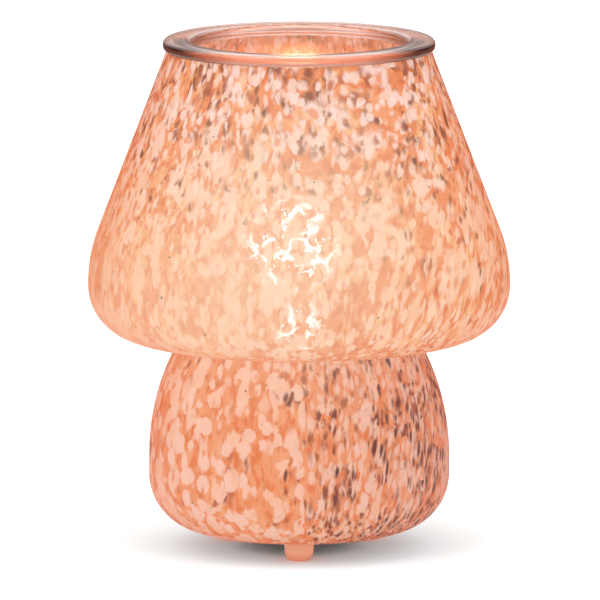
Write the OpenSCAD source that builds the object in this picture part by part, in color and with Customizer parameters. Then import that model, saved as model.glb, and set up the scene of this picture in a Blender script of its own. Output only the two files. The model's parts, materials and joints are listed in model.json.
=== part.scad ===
// Electric wax warmer: a blown glass vessel shaped like a mushroom lamp, lit by a small
// globe bulb inside, with a loose glass dish for the wax on its open top.
// +Z is up, the floor is z = 0, the origin is under the middle of the glass vessel,
// and the cord leaves towards +Y.

/* [Glass vessel] */
// Thickness of the blown wall
glass_wall = 3; // [2.5:0.5:3.5]
// Largest radius of the lower body
body_r = 66.4; // [65:0.2:68]
// Radius of the rounded heel where the body turns under
heel_r = 24.7; // [22:0.1:25]
// Height at which the body starts to narrow towards the neck
belly_z = 41; // [38:0.5:44]
// Radius of the curve from belly to neck
belly_curve_r = 104; // [98:1:112]
// Height of the crease between body and shade
neck_z = 94; // [90:0.5:97]
// Largest radius of the shade
shade_r = 93.1; // [90:0.1:95]
// Radius of the rolled lip under the shade
lip_r = 23; // [19:0.5:24]
// Radius of the shoulder above the lip
shoulder_r = 65; // [55:1:75]
// Height of the band between lip and shoulder
lip_band = 1.3; // [0.5:0.1:3]
// Lean of the shade's straight side, in degrees from upright
shade_lean = 20.9; // [19:0.1:22]
// Height of the shade's open top
rim_z = 221.4; // [218:0.2:224]
// Radius of the hole in the bottom of the glass
base_hole_r = 22; // [22:0.2:22.4]

/* [Wax dish] */
// Radius of the flange
flange_r = 60; // [59:0.5:62]
// Thickness of the flange
flange_t = 4.8; // [4:0.2:6]
// Outer radius of the well
well_r = 50.5; // [48:0.5:51]
// Thickness of the dish wall and floor
dish_wall = 3.1; // [2.5:0.1:3.5]
// How far the well hangs below the shade's rim
well_drop = 20.4; // [15:0.2:24]

/* [Feet and base] */
// Height of the glass above the floor
foot_h = 8.3; // [8.2:0.1:9]
// Radius of a bumper foot
foot_r = 6.5; // [5.5:0.5:6.5]
// Radius of the circle that the feet stand on
foot_circle_r = 35; // [34.5:0.1:35]
// Thickness of the base cap
cap_t = 2.2; // [2:0.1:2.4]
// Thickness of each gasket
gasket_t = 1; // [0.8:0.1:1]
// Outer radius of base cap, gaskets and housing flange
seal_r = 27; // [26:0.5:27.5]
// Height of the top of the base housing
housing_top = 40; // [39:0.5:42]

/* [Lamp holder and bulb] */
// Height of the socket cup's underside
cup_z = 55.5; // [54:0.5:56]
// Height of the bulb's contact tip
tip_z = 77; // [77:0.1:77.4]
// Pitch of the bulb's screw cap
screw_pitch = 2.54; // [2.5:0.01:2.6]
// Radius of the globe
globe_r = 25; // [20:0.5:28]
// Height of the globe's centre
globe_z = 131; // [128:0.5:136]

/* [Cord, switch and plug] */
// Radius of the round cord
cord_r = 2.2; // [2.1:0.05:2.2]
// Distance from the lamp's axis to the middle of the switch
switch_y = 84; // [84:0.5:88]
// Length of the switch case
switch_l = 50; // [48:0.5:51]
// Width of the switch case
switch_w = 17; // [17:0.5:18]
// Height of the switch case
switch_h = 13; // [13:0.2:13.4]
// Throw of the rocker between on and off, in degrees
rocker_throw = 24; // [20:1:26]
// Half the length of the coil's straight runs
coil_half = 42; // [38:1:46]
// Sideways distance from the switch to the plug
plug_x = 36; // [30:1:38]

/* [Hidden] */
$fn = 72;

tiny = 0.01;          // keeps a cut from ending exactly on a face
fit_gap = 0.03;       // radial gap where one piece is held in another

// Glass outline
heel_x = body_r - heel_r;
heel_z = foot_h + heel_r;
belly_x = body_r - belly_curve_r;
lip_x = shade_r - lip_r;
lip_z = neck_z + lip_r;
shoulder_x = shade_r - shoulder_r;
shoulder_z = lip_z + lip_band;
rim_r = shoulder_x + shoulder_r * cos(shade_lean)
    - (rim_z - shoulder_z - shoulder_r * sin(shade_lean)) * tan(shade_lean);

// Dish outline
flange_top = rim_z + flange_t;
flange_edge = 2;
well_z = rim_z - well_drop;
well_corner = 8;
dish_mouth_r = well_r - dish_wall;
dish_mouth_edge = 2.5;

// Base stack
third_turn = 120;
foot_sole_r = 3.5;
glass_floor_z = foot_h + glass_wall;
cap_top = foot_h - gasket_t;
cap_z = cap_top - cap_t;
flange_z = glass_floor_z + gasket_t;
housing_flange_t = 2;
housing_wall = 2.3;
spigot_r = base_hole_r - 0.4;
spigot_z = 8;
housing_r = 23.5;
housing_top_r = 16;
gasket_inner_r = base_hole_r + 0.6;
cap_screw_circle_r = 17.5;
cap_screw_r = 1.5;
cap_screw_head_r = 2.8;
cap_screw_head_h = 1.6;
cap_screw_l = 12;
boss_r = 3.3;
boss_z = spigot_z + 0.5;
boss_top = 22;

// Cord inside the base
core_r = 0.8;
core_x = 1.3;
cord_in_y = 7;
cord_in_top = 20;
cord_bend_r = 6;
clamp_z = 14.5;
clamp_h = 5;
clamp_half = 9;
clamp_screw_x = 6;
clamp_screw_r = 1.25;
clamp_back_y = 11.4;
clamp_split_y = 7;
clamp_slit = 0.2;
bridge_y = 2;

// Lamp tube and nuts
tube_r = 5;
tube_bore_r = 3.5;
tube_z = housing_top - 7;
tube_top = cup_z + 6.5;
plate_t = 2;
washer_r = 9;
washer_t = 1;
nut_r = 8.1;
nut_h = 3;
sleeve_r = 6.5;

// Socket
socket_z = cup_z + 7;
socket_top = socket_z + 34.5;
socket_r = 12.5;
socket_bore_r = 7.6;
socket_floor = socket_z + 7.5;
cup_lip_z = socket_z + 3.5;
cup_wall = 1.3;
shell_wall = 0.4;
socket_thread_r = 6.75;
socket_thread_depth = 0.3;
socket_thread_top = socket_floor + 18.9;
leaf_t = 0.4;
leaf_w = 4;
rivet_x = 3;
rivet_r = 0.7;

// Bulb
bulb_shell_z = tip_z + 2.7;
bulb_shell_top = tip_z + 20;
bulb_thread_r = 5.6;
bulb_thread_depth = 0.25;
bulb_shell_wall = 0.3;
bulb_neck_r = 4.95;
bulb_throat_r = 8;
bulb_wall = 0.8;
stem_top = globe_z - 18.4;
filament_r = 9;
filament_wire_r = 0.5;
filament_z = globe_z - filament_r;
filament_reach = 40;

// Switch
switch_z = switch_h / 2;
case_wall = 1.6;
case_floor = 1.8;
case_corner = 5;
switch_end = switch_l / 2;
cord_grip_l = 4;
rocker_z = 10;
rocker_r = 9.4;
rocker_half_w = 5;
rocker_gap = 0.2;
rocker_pin_r = 1.5;
rocker_pin_reach = 6.6;
rocker_pin_gap = 0.05;
rocker_dip = 2.6;
rocker_v = 14;
rocker_sole = -1.5;
nose_u = -4;
ear_half = 3.5;
post_x = 5;
post_y = 19;
post_r = 2.4;
case_screw_r = 1;
case_screw_head_r = 1.9;
terminal_x = -2.5;
terminal_y = 8;
terminal_h = 3.5;
blade_t = 0.3;
blade_z = case_floor + terminal_h;

// Coil of cord
coil_pitch = 2 * cord_r + 0.2;
coil_r = 15.3;
coil_inner_turns = 4;
tie_t = 0.8;
coil_z = tie_t + 0.05 + cord_r;
layer_rise = 2 * cord_r + 0.1;
turn_r = 12;
rise_r = 10;
lead_rise_r = 12;
lead_end_y = switch_y - switch_end - 2;
coil_front_y = switch_y + switch_end + 29;
coil_back_y = coil_front_y + 2 * coil_r;
tie_x = -18;
tie_w = 8;
tie_gap = 0.05;

// Plug
plug_z = coil_z + layer_rise;
plug_y = coil_front_y - turn_r - 10;
plug_w = 22;
plug_h = 15;
plug_tail_l = 8;
plug_l = 30;
plug_cord_depth = 12;
blade_half_gap = 6.35;
blade_plate_t = 1.5;
blade_plate_w = 6.35;
blade_out = 17;
blade_in = 7;

// Which way a cord bends, as an angle about its own run, from above it
UP = 0;
LEFT = 90;
DOWN = 180;
RIGHT = 270;
cord_sides = 10;
bend_step = 18;

// Points of an arc about a centre, from one angle to another
function arc(centre, r, from, to, steps = 12) = [
    for (i = [0:steps])
        let (a = from + (to - from) * i / steps)
        [centre[0] + r * cos(a), centre[1] + r * sin(a)]
];

function reversed(points) = [for (i = [len(points) - 1:-1:0]) points[i]];

// Angle of each half of an S-bend that shifts a run sideways by a given amount
function s_angle(shift, r) = acos(1 - shift / (2 * r));
function s_length(shift, r) = 2 * r * sin(s_angle(shift, r));
function s_bend(lead, shift, r, way) = [
    [lead, r, s_angle(shift, r), way],
    [0, r, s_angle(shift, r), way + 180]
];

function turned(v, axis, a) = v * cos(a) + cross(axis, v) * sin(a) + axis * (axis * v) * (1 - cos(a));

// Stations [place, heading, up] at the end of a straight run and along the bend that follows it
function move_stations(s, move) =
    let (way = turned(s[2], s[1], -move[3]),
        axis = cross(s[1], way),
        corner = s[0] + s[1] * move[0],
        steps = ceil(move[2] / bend_step))
    concat(
        move[0] > 0 ? [[corner, s[1], s[2]]] : [],
        steps == 0 ? [] : [
            for (i = [1:steps])
                let (a = move[2] * i / steps)
                [corner + way * move[1] - turned(way * move[1], axis, a),
                 turned(s[1], axis, a), turned(s[2], axis, a)]
        ]);

// All stations of a cord that starts at s and follows a list of moves
function route(s, moves, i = 0) = i == len(moves) ? [s] :
    let (run = move_stations(s, moves[i]))
    concat([s], [for (k = [0:1:len(run) - 2]) run[k]], route(run[len(run) - 1], moves, i + 1));

// Side of the vessel from the heel to the rim, set in from the outer face by depth
function vessel_side(depth) = concat(
    arc([heel_x, heel_z], heel_r - depth, -90, 0),
    arc([belly_x, belly_z], belly_curve_r - depth, 0,
        asin((neck_z + depth - belly_z) / (belly_curve_r - depth)), 16),
    arc([lip_x, lip_z], lip_r - depth, -90, 0),
    arc([shoulder_x, shoulder_z], shoulder_r - depth, 0, shade_lean, 8),
    [[rim_r - depth / cos(shade_lean), rim_z]]
);

module thirds() {
    for (i = [0:2])
        rotate([0, 0, 270 + i * third_turn])
            children();
}

// A ring between two radii
module ring(outer_r, inner_r, h) {
    difference() {
        cylinder(h = h, r = outer_r);
        translate([0, 0, -tiny])
            cylinder(h = h + 2 * tiny, r = inner_r);
    }
}

// A thin turned sheet with rolled thread ridges
module ridged_sheet(mid_r, depth, wall, z0, z1) {
    steps = ceil((z1 - z0) / screw_pitch * 8);
    side = [
        for (i = [0:steps])
            let (z = z0 + (z1 - z0) * i / steps)
            [mid_r + depth * cos(360 * (z - z0) / screw_pitch), z]
    ];
    rotate_extrude()
        polygon(concat(side, reversed([for (p = side) [p[0] - wall, p[1]]])));
}

// A rectangle with rounded corners, centred
module rounded(w, l, r) {
    square([w - 2 * r, l], center = true);
    square([w, l - 2 * r], center = true);
    for (x = [-1, 1], y = [-1, 1])
        translate([x * (w / 2 - r), y * (l / 2 - r)])
            circle(r);
}

// A straight round rod between two points
module rod(a, b, r) {
    d = b - a;
    translate(a)
        rotate([0, acos(d[2] / norm(d)), atan2(d[1], d[0])])
            cylinder(h = norm(d), r = r, $fn = 24);
}

// A round cord from a start [place, heading, up] along moves [straight, bend radius, angle, way]
module cord(start, moves, r) {
    path = route(start, moves);
    n = len(path);
    points = [
        for (s = path, i = [0:cord_sides - 1])
            let (a = 360 * i / cord_sides)
            s[0] + r * (s[2] * cos(a) + cross(s[1], s[2]) * sin(a))
    ];
    faces = concat(
        [[for (i = [0:cord_sides - 1]) i]],
        [for (k = [0:n - 2], i = [0:cord_sides - 1])
            let (j = (i + 1) % cord_sides, a = k * cord_sides, b = a + cord_sides)
            [a + i, b + i, b + j, a + j]],
        [[for (i = [cord_sides - 1:-1:0]) (n - 1) * cord_sides + i]]);
    polyhedron(points, faces);
}

// A pan-head screw that points along +Z, its head below z = 0, with a cross recess
module screw(r, l, head_r, head_h) {
    difference() {
        union() {
            cylinder(h = l, r = r);
            rotate_extrude()
                polygon(concat(
                    [[0, 0]],
                    [[0, -head_h]],
                    arc([head_r - head_h * 0.6, -head_h * 0.4], head_h * 0.6, -90, 0, 4),
                    [[head_r, 0]]));
        }
        for (a = [0, 90])
            rotate([0, 0, a])
                translate([0, 0, -head_h * 0.75])
                    cube([head_r * 1.2, head_r * 0.25, head_h * 0.6], center = true);
    }
}

module hex_nut(h) {
    difference() {
        cylinder(h = h, r = nut_r, $fn = 6);
        translate([0, 0, -tiny])
            cylinder(h = h + 2 * tiny, r = tube_r + fit_gap);
    }
}

module glass_body() {
    color("#f2b79b")
        rotate_extrude()
            polygon(concat(
                [[base_hole_r, foot_h]],
                vessel_side(0),
                reversed(vessel_side(glass_wall)),
                [[base_hole_r, glass_floor_z]]));
}

module wax_dish() {
    color("#e8d6d0", 0.5)
        rotate_extrude()
            polygon(concat(
                [[0, well_z]],
                arc([well_r - well_corner, well_z + well_corner], well_corner, -90, 0),
                [[well_r, rim_z]],
                arc([flange_r - flange_edge, rim_z + flange_edge], flange_edge, -90, 0, 6),
                arc([flange_r - flange_edge, flange_top - flange_edge], flange_edge, 0, 90, 6),
                arc([dish_mouth_r + dish_mouth_edge, flange_top - dish_mouth_edge],
                    dish_mouth_edge, 90, 180, 8),
                arc([well_r - well_corner, well_z + well_corner],
                    well_corner - dish_wall, 0, -90, 10),
                [[0, well_z + dish_wall]]));
}

module bumper_feet() {
    color("#e9a37c", 0.7)
        thirds()
            translate([foot_circle_r, 0, 0])
                rotate_extrude()
                    polygon(concat(
                        [[0, 0]],
                        arc([foot_sole_r, foot_r - foot_sole_r], foot_r - foot_sole_r, -90, 0, 8),
                        [[foot_r, foot_h], [0, foot_h]]));
}

module base_cap() {
    slot_r = cord_r + 0.3;
    color("white")
        difference() {
            translate([0, 0, cap_z])
                cylinder(h = cap_t, r = seal_r);
            thirds()
                translate([cap_screw_circle_r, 0, cap_z - 1])
                    cylinder(h = cap_t + 2, r = cap_screw_r + 0.2);
            for (y = [cord_in_y + 0.1, cord_in_y + 1.9])
                translate([0, y, cap_z - 1])
                    cylinder(h = cap_t + 2, r = slot_r);
            translate([-slot_r, cord_in_y + 0.1, cap_z - 1])
                cube([2 * slot_r, 1.8, cap_t + 2]);
            for (a = [0:60:300])
                rotate([0, 0, a])
                    translate([9, -1, cap_z - 1])
                        cube([10, 2, cap_t + 2]);
        }
}

module gasket_lower() {
    color("gainsboro")
        translate([0, 0, cap_top])
            ring(seal_r, gasket_inner_r, gasket_t);
}

module gasket_upper() {
    color("gainsboro")
        translate([0, 0, glass_floor_z])
            ring(seal_r, gasket_inner_r, gasket_t);
}

// Groove that the cord lies in, shared by the bridge and the clamp
module cord_groove() {
    translate([0, cord_in_y, clamp_z - 1])
        cylinder(h = clamp_h + 2, r = cord_r + fit_gap);
}

module base_housing() {
    color("whitesmoke")
        difference() {
            union() {
                rotate_extrude()
                    polygon([
                        [spigot_r - 1.6, spigot_z],
                        [spigot_r, spigot_z],
                        [spigot_r, flange_z],
                        [seal_r, flange_z],
                        [seal_r, flange_z + housing_flange_t],
                        [housing_r, flange_z + housing_flange_t],
                        [housing_top_r, housing_top],
                        [tube_r + 0.1, housing_top],
                        [tube_r + 0.1, housing_top - plate_t],
                        [housing_top_r - housing_wall, housing_top - plate_t],
                        [spigot_r - 1.6, flange_z + 5]
                    ]);
                thirds()
                    translate([cap_screw_circle_r, 0, boss_z])
                        cylinder(h = boss_top - boss_z, r = boss_r);
                translate([-spigot_r + 1, bridge_y, clamp_z])
                    cube([2 * spigot_r - 2, clamp_split_y - clamp_slit - bridge_y, clamp_h]);
            }
            thirds()
                translate([cap_screw_circle_r, 0, spigot_z - 1])
                    cylinder(h = cap_screw_l, r = cap_screw_r + fit_gap);
            cord_groove();
            for (x = [-1, 1])
                translate([x * clamp_screw_x, clamp_split_y, clamp_z + clamp_h / 2])
                    rotate([90, 0, 0])
                        cylinder(h = 4.5, r = clamp_screw_r + fit_gap);
            for (a = [0:60:300])
                rotate([0, 0, a])
                    translate([10, -1.5, 27])
                        cube([15, 3, 8]);
        }
}

module cap_screws() {
    color("silver")
        thirds()
            translate([cap_screw_circle_r, 0, cap_z])
                screw(cap_screw_r, cap_screw_l, cap_screw_head_r, cap_screw_head_h);
}

module cord_clamp() {
    color("whitesmoke")
        difference() {
            translate([-clamp_half, clamp_split_y + clamp_slit, clamp_z])
                cube([2 * clamp_half, clamp_back_y - clamp_split_y - clamp_slit, clamp_h]);
            cord_groove();
            for (x = [-1, 1])
                translate([x * clamp_screw_x, clamp_back_y + 1, clamp_z + clamp_h / 2])
                    rotate([90, 0, 0])
                        cylinder(h = 6, r = clamp_screw_r + 0.15);
        }
}

module cord_clamp_screws() {
    color("silver")
        for (x = [-1, 1])
            translate([x * clamp_screw_x, clamp_back_y, clamp_z + clamp_h / 2])
                rotate([90, 0, 0])
                    screw(clamp_screw_r, 8, 2.2, 1.4);
}

module lamp_tube() {
    color("gold")
        translate([0, 0, tube_z])
            ring(tube_r, tube_bore_r, tube_top - tube_z);
}

module tube_nuts() {
    below = housing_top - plate_t - washer_t - nut_h;
    above = housing_top + washer_t;
    in_cup = cup_z + plate_t + washer_t;
    color("silver")
        for (z = [below, above, in_cup])
            translate([0, 0, z])
                hex_nut(nut_h);
}

module tube_washers() {
    color("silver")
        for (z = [housing_top - plate_t - washer_t, housing_top, cup_z + plate_t])
            translate([0, 0, z])
                ring(washer_r, tube_r + 0.2, washer_t);
}

module tube_sleeve() {
    foot_z = housing_top + washer_t + nut_h;
    color("goldenrod")
        translate([0, 0, foot_z])
            ring(sleeve_r, tube_r + 0.3, cup_z - foot_z);
}

module socket_cup() {
    color("dimgray")
        rotate_extrude()
            polygon([
                [tube_r + 0.1, cup_z],
                [socket_r - 1, cup_z],
                [socket_r, cup_z + 1],
                [socket_r, cup_lip_z],
                [socket_r - cup_wall, cup_lip_z],
                [socket_r - cup_wall, cup_z + plate_t],
                [tube_r + 0.1, cup_z + plate_t]
            ]);
}

module socket_housing() {
    spigot = socket_r - cup_wall - 0.05;
    color("#2c2a29")
        difference() {
            rotate_extrude()
                polygon([
                    [0, socket_z],
                    [spigot, socket_z],
                    [spigot, cup_lip_z],
                    [socket_r, cup_lip_z],
                    [socket_r, socket_top - 1],
                    [socket_r - 1, socket_top],
                    [socket_bore_r, socket_top],
                    [socket_bore_r, socket_floor],
                    [0, socket_floor]
                ]);
            for (x = [-1, 1]) {
                translate([x * core_x, 0, socket_z - 1])
                    cylinder(h = socket_floor - socket_z + 2, r = core_r + fit_gap, $fn = 24);
                translate([x * rivet_x, 0, socket_floor - 3])
                    cylinder(h = 4, r = rivet_r + fit_gap, $fn = 24);
            }
        }
}

module socket_screw_shell() {
    color("gold") {
        ridged_sheet(socket_thread_r, socket_thread_depth, shell_wall,
            socket_floor, socket_thread_top);
        translate([0, 0, socket_floor])
            difference() {
                cylinder(h = shell_wall, r = socket_thread_r);
                translate([-0.4, -socket_r, -1])
                    cube([socket_r, 2 * socket_r, 2]);
                translate([-rivet_x, 0, -1])
                    cylinder(h = 2, r = rivet_r + fit_gap, $fn = 24);
            }
    }
}

module socket_centre_contact() {
    top = tip_z - 0.05;
    elbow = socket_floor + 3;
    reach = 5.6;
    color("gold")
        difference() {
            translate([0, leaf_w / 2, 0])
                rotate([90, 0, 0])
                    linear_extrude(leaf_w)
                        polygon([
                            [0.4, socket_floor],
                            [reach, socket_floor],
                            [reach, elbow],
                            [1.6, top],
                            [-2.4, top],
                            [-2.4, top - leaf_t],
                            [1.4, top - leaf_t],
                            [reach - leaf_t, elbow - 0.2],
                            [reach - leaf_t, socket_floor + leaf_t],
                            [0.4, socket_floor + leaf_t]
                        ]);
            translate([rivet_x, 0, socket_floor - 1])
                cylinder(h = 2, r = rivet_r + fit_gap, $fn = 24);
        }
}

module socket_rivets() {
    color("silver")
        for (x = [-1, 1])
            translate([x * rivet_x, 0, socket_floor - 2.8]) {
                cylinder(h = 2.8 + leaf_t, r = rivet_r, $fn = 24);
                translate([0, 0, 2.8 + leaf_t])
                    cylinder(h = 0.5, r = 2 * rivet_r, $fn = 24);
            }
}

// Insulated core from the end of the cord's jacket up into the socket
module lamp_core(x) {
    reach = tube_z - cord_in_top;
    half = 2 * atan(cord_in_y / reach);
    bend_r = reach / (2 * sin(half));
    cord([[x, cord_in_y, cord_in_top], [0, 0, 1], [0, -1, 0]], [
        [0, bend_r, half, UP],
        [0, bend_r, half, DOWN],
        [socket_floor - tube_z, 0, 0, UP]
    ], core_r);
}

module wire_live() {
    color("black")
        lamp_core(core_x);
}

module wire_neutral() {
    color("white")
        lamp_core(-core_x);
}

module bulb_glass() {
    throat_z = tip_z + 24;
    outer = concat(
        [[bulb_neck_r, bulb_shell_top - 5], [bulb_neck_r, bulb_shell_top - 0.5],
         [bulb_throat_r, throat_z]],
        arc([0, globe_z], globe_r, -acos(bulb_throat_r / globe_r), 90, 24));
    inner = concat(
        [[bulb_neck_r - bulb_wall, bulb_shell_top - 5],
         [bulb_neck_r - bulb_wall, bulb_shell_top],
         [bulb_throat_r - bulb_wall, throat_z]],
        arc([0, globe_z], globe_r - bulb_wall,
            -acos((bulb_throat_r - bulb_wall) / (globe_r - bulb_wall)), 90, 24));
    color("#fff2dc", 0.4)
        rotate_extrude()
            polygon(concat(outer, reversed(inner)));
}

module bulb_stem() {
    color("#dfeaf0", 0.5)
        rotate_extrude()
            polygon([
                [0, bulb_shell_top - 4.5],
                [3.9, bulb_shell_top - 4.5],
                [3.9, bulb_shell_top - 3.5],
                [2.2, bulb_shell_top + 2],
                [1.6, stem_top - 0.6],
                [0.8, stem_top],
                [0, stem_top]
            ]);
}

module bulb_leads() {
    tip = [filament_r * cos(filament_reach), 0, filament_z + filament_r * sin(filament_reach)];
    color("lightgray")
        for (x = [-1, 1])
            rod([x * 0.8, 0, stem_top - 3], [x * tip[0], 0, tip[2]], 0.35);
}

module filament() {
    color("#ffd27a")
        translate([0, 0, filament_z])
            rotate([90, 0, 0])
                rotate([0, 0, filament_reach])
                    rotate_extrude(angle = 180 - 2 * filament_reach)
                        translate([filament_r, 0])
                            circle(filament_wire_r, $fn = 16);
}

module bulb_screw_shell() {
    color("silver")
        ridged_sheet(bulb_thread_r, bulb_thread_depth, bulb_shell_wall,
            bulb_shell_z, bulb_shell_top);
}

module bulb_insulator() {
    grip_r = bulb_thread_r - bulb_thread_depth - bulb_shell_wall - 0.05;
    color("#1d1b1b")
        rotate_extrude()
            polygon([
                [2.25, tip_z + 0.9],
                [3.2, tip_z + 0.9],
                [grip_r, tip_z + 2.6],
                [grip_r, tip_z + 3.4],
                [1, tip_z + 3.4],
                [1, tip_z + 1.5],
                [2.25, tip_z + 1.5]
            ]);
}

module bulb_tip_contact() {
    color("silver")
        rotate_extrude()
            polygon(concat(
                [[0, tip_z]],
                arc([1.3, tip_z + 0.9], 0.9, -90, 0, 6),
                [[2.2, tip_z + 1.4], [0, tip_z + 1.4]]));
}

module lamp_cord() {
    rise = switch_z - cord_r;
    floor_lead = lead_end_y - cord_in_y - cord_bend_r - s_length(rise, lead_rise_r);
    color("white")
        cord([[0, cord_in_y, cord_in_top], [0, 0, -1], [0, 1, 0]], concat(
            [[cord_in_top - cord_r - cord_bend_r, cord_bend_r, 90, UP]],
            s_bend(floor_lead, rise, lead_rise_r, UP),
            [[2 + cord_grip_l, 0, 0, UP]]), cord_r);
}

module plug_cord() {
    start_y = switch_y + switch_end - cord_grip_l;
    drop = switch_z - coil_z;
    first = cord_grip_l + 2;
    approach = coil_front_y - turn_r - start_y - first - s_length(drop, lead_rise_r);
    crossing = coil_half - s_length(layer_rise, rise_r) / 2;
    turns = coil_inner_turns;
    color("white")
        cord([[0, start_y, switch_z], [0, 1, 0], [0, 0, 1]], concat(
            s_bend(first, drop, lead_rise_r, DOWN),
            [[approach, turn_r, 90, RIGHT]],
            [for (k = [0:turns])
                [k == 0 ? coil_half - turn_r : 2 * coil_half,
                 coil_r - k * coil_pitch / 2, 180, LEFT]],
            s_bend(crossing, layer_rise, rise_r, UP),
            [for (k = [turns:-1:0])
                [k == turns ? crossing : 2 * coil_half,
                 coil_r - k * coil_pitch / 2, 180, LEFT]],
            [[coil_half + plug_x - turn_r, turn_r, 90, RIGHT]],
            [[coil_front_y - turn_r - plug_y + plug_cord_depth, 0, 0, UP]]), cord_r);
}

module cord_tie() {
    depth = coil_back_y - coil_front_y + 2 * cord_r + 2 * tie_gap;
    height = layer_rise + 2 * cord_r + 2 * tie_gap;
    color("darkgray")
        translate([tie_x - tie_w / 2, coil_front_y + coil_r, coil_z + layer_rise / 2])
            rotate([0, 90, 0])
                linear_extrude(tie_w)
                    difference() {
                        rounded(height + 2 * tie_t, depth + 2 * tie_t, 1.5);
                        square([height, depth], center = true);
                    }
}

// Places for the two diagonal screws of the switch case
module at_posts() {
    for (s = [-1, 1])
        translate([s * post_x, s * post_y, 0])
            children();
}

// Room for the cord where it enters both ends of the switch case
module cord_ways() {
    for (s = [-1, 1])
        translate([0, s * (switch_end - cord_grip_l - 1), switch_z])
            rotate([-90 * s, 0, 0])
                cylinder(h = cord_grip_l + 2, r = cord_r + fit_gap);
}

module switch_case_bottom() {
    color("white")
        translate([0, switch_y, 0])
            difference() {
                union() {
                    difference() {
                        linear_extrude(switch_z)
                            rounded(switch_w, switch_l, case_corner);
                        translate([0, 0, case_floor])
                            linear_extrude(switch_z)
                                rounded(switch_w - 2 * case_wall, switch_l - 2 * cord_grip_l,
                                    case_corner - case_wall);
                    }
                    at_posts()
                        cylinder(h = switch_z, r = post_r);
                }
                cord_ways();
                at_posts() {
                    translate([0, 0, -1])
                        cylinder(h = switch_h, r = case_screw_r + 0.1);
                    translate([0, 0, -1])
                        cylinder(h = 1 + 1.2, r = case_screw_head_r + 0.1);
                }
            }
}

module switch_case_top() {
    window_l = 2 * (rocker_r + 0.3);
    window_w = 2 * (rocker_half_w + rocker_gap);
    color("white")
        translate([0, switch_y, 0])
            difference() {
                union() {
                    difference() {
                        translate([0, 0, switch_z])
                            linear_extrude(switch_h - switch_z)
                                rounded(switch_w, switch_l, case_corner);
                        translate([0, 0, switch_z - 1])
                            linear_extrude(switch_h - switch_z - case_wall + 1)
                                rounded(switch_w - 2 * case_wall, switch_l - 2 * cord_grip_l,
                                    case_corner - case_wall);
                    }
                    at_posts()
                        translate([0, 0, switch_z])
                            cylinder(h = switch_z - case_wall / 2, r = post_r);
                    for (s = [-1, 1])
                        translate([s * (rocker_half_w + rocker_gap + 1) - 1, -ear_half, 7.2])
                            cube([2, 2 * ear_half, switch_h - 8]);
                }
                cord_ways();
                translate([-window_w / 2, -window_l / 2, switch_z])
                    cube([window_w, window_l, switch_h]);
                at_posts()
                    translate([0, 0, switch_z - 1])
                        cylinder(h = 5.2, r = case_screw_r + fit_gap);
                translate([-rocker_pin_reach - 0.1, 0, rocker_z])
                    rotate([0, 90, 0])
                        cylinder(h = 2 * rocker_pin_reach + 0.2, r = rocker_pin_r + rocker_pin_gap);
            }
}

module switch_screws() {
    color("silver")
        translate([0, switch_y, 1.2])
            at_posts()
                screw(case_screw_r, 9, case_screw_head_r, 1);
}

module switch_terminals() {
    color("gold")
        for (s = [-1, 1])
            translate([terminal_x, switch_y + s * terminal_y, case_floor])
                difference() {
                    translate([-2, -2.5, 0])
                        cube([4, 5, terminal_h]);
                    translate([0, 0, terminal_h / 2])
                        rotate([-90 * s, 0, 0])
                            cylinder(h = 3, r = 0.7, $fn = 24);
                }
}

module switch_blade() {
    color("gold")
        translate([terminal_x - 1.5, switch_y - terminal_y - 2, blade_z])
            cube([3, 2 * terminal_y + 4, blade_t]);
}

// The neutral core runs through the switch, and the live core ends at the two terminals
module switch_cores() {
    inner_end = switch_end - cord_grip_l - 0.3;
    side = [3.2, switch_end - 14, 4.2];
    color("white")
        translate([0, switch_y, 0]) {
            for (s = [-1, 1]) {
                rod([core_x, s * inner_end, switch_z], [side[0], s * side[1], side[2]], core_r);
                translate([side[0], s * side[1], side[2]])
                    sphere(core_r * 1.06, $fn = 24);
                rod([-core_x, s * inner_end, switch_z],
                    [terminal_x, s * (terminal_y + 2.6), case_floor + terminal_h / 2], core_r * 0.8);
            }
            rod([side[0], -side[1], side[2]], [side[0], side[1], side[2]], core_r);
        }
}

// Rests pressed on one side, which is the on position
module rocker() {
    wing = rocker_r + 1;
    lift = wing * tan(rocker_v);
    color("ghostwhite")
        translate([0, switch_y, rocker_z])
            rotate([rocker_throw / 2, 0, 0]) {
                translate([-rocker_half_w, 0, 0])
                    rotate([90, 0, 90])
                        linear_extrude(2 * rocker_half_w)
                            intersection() {
                                circle(rocker_r);
                                polygon([
                                    [-wing, rocker_sole],
                                    [wing, rocker_sole],
                                    [wing, rocker_dip + lift],
                                    [0, rocker_dip],
                                    [-wing, rocker_dip + lift]
                                ]);
                            }
                translate([-rocker_pin_reach, 0, 0])
                    rotate([0, 90, 0])
                        cylinder(h = 2 * rocker_pin_reach, r = rocker_pin_r);
                translate([terminal_x, nose_u, rocker_sole])
                    rotate([0, 180, 0])
                        cylinder(h = 1.8, r = 1);
            }
}

// Places a piece of the plug, which points along its own +Z
module plug_frame() {
    translate([plug_x, plug_y, plug_z])
        rotate([90, 0, 0])
            children();
}

module blade_plates(grow) {
    for (s = [-1, 1])
        translate([s * blade_half_gap - blade_plate_t / 2 - grow, -blade_plate_w / 2 - grow,
            plug_l - blade_in - grow])
            cube([blade_plate_t + 2 * grow, blade_plate_w + 2 * grow, blade_in + blade_out + grow]);
}

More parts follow.
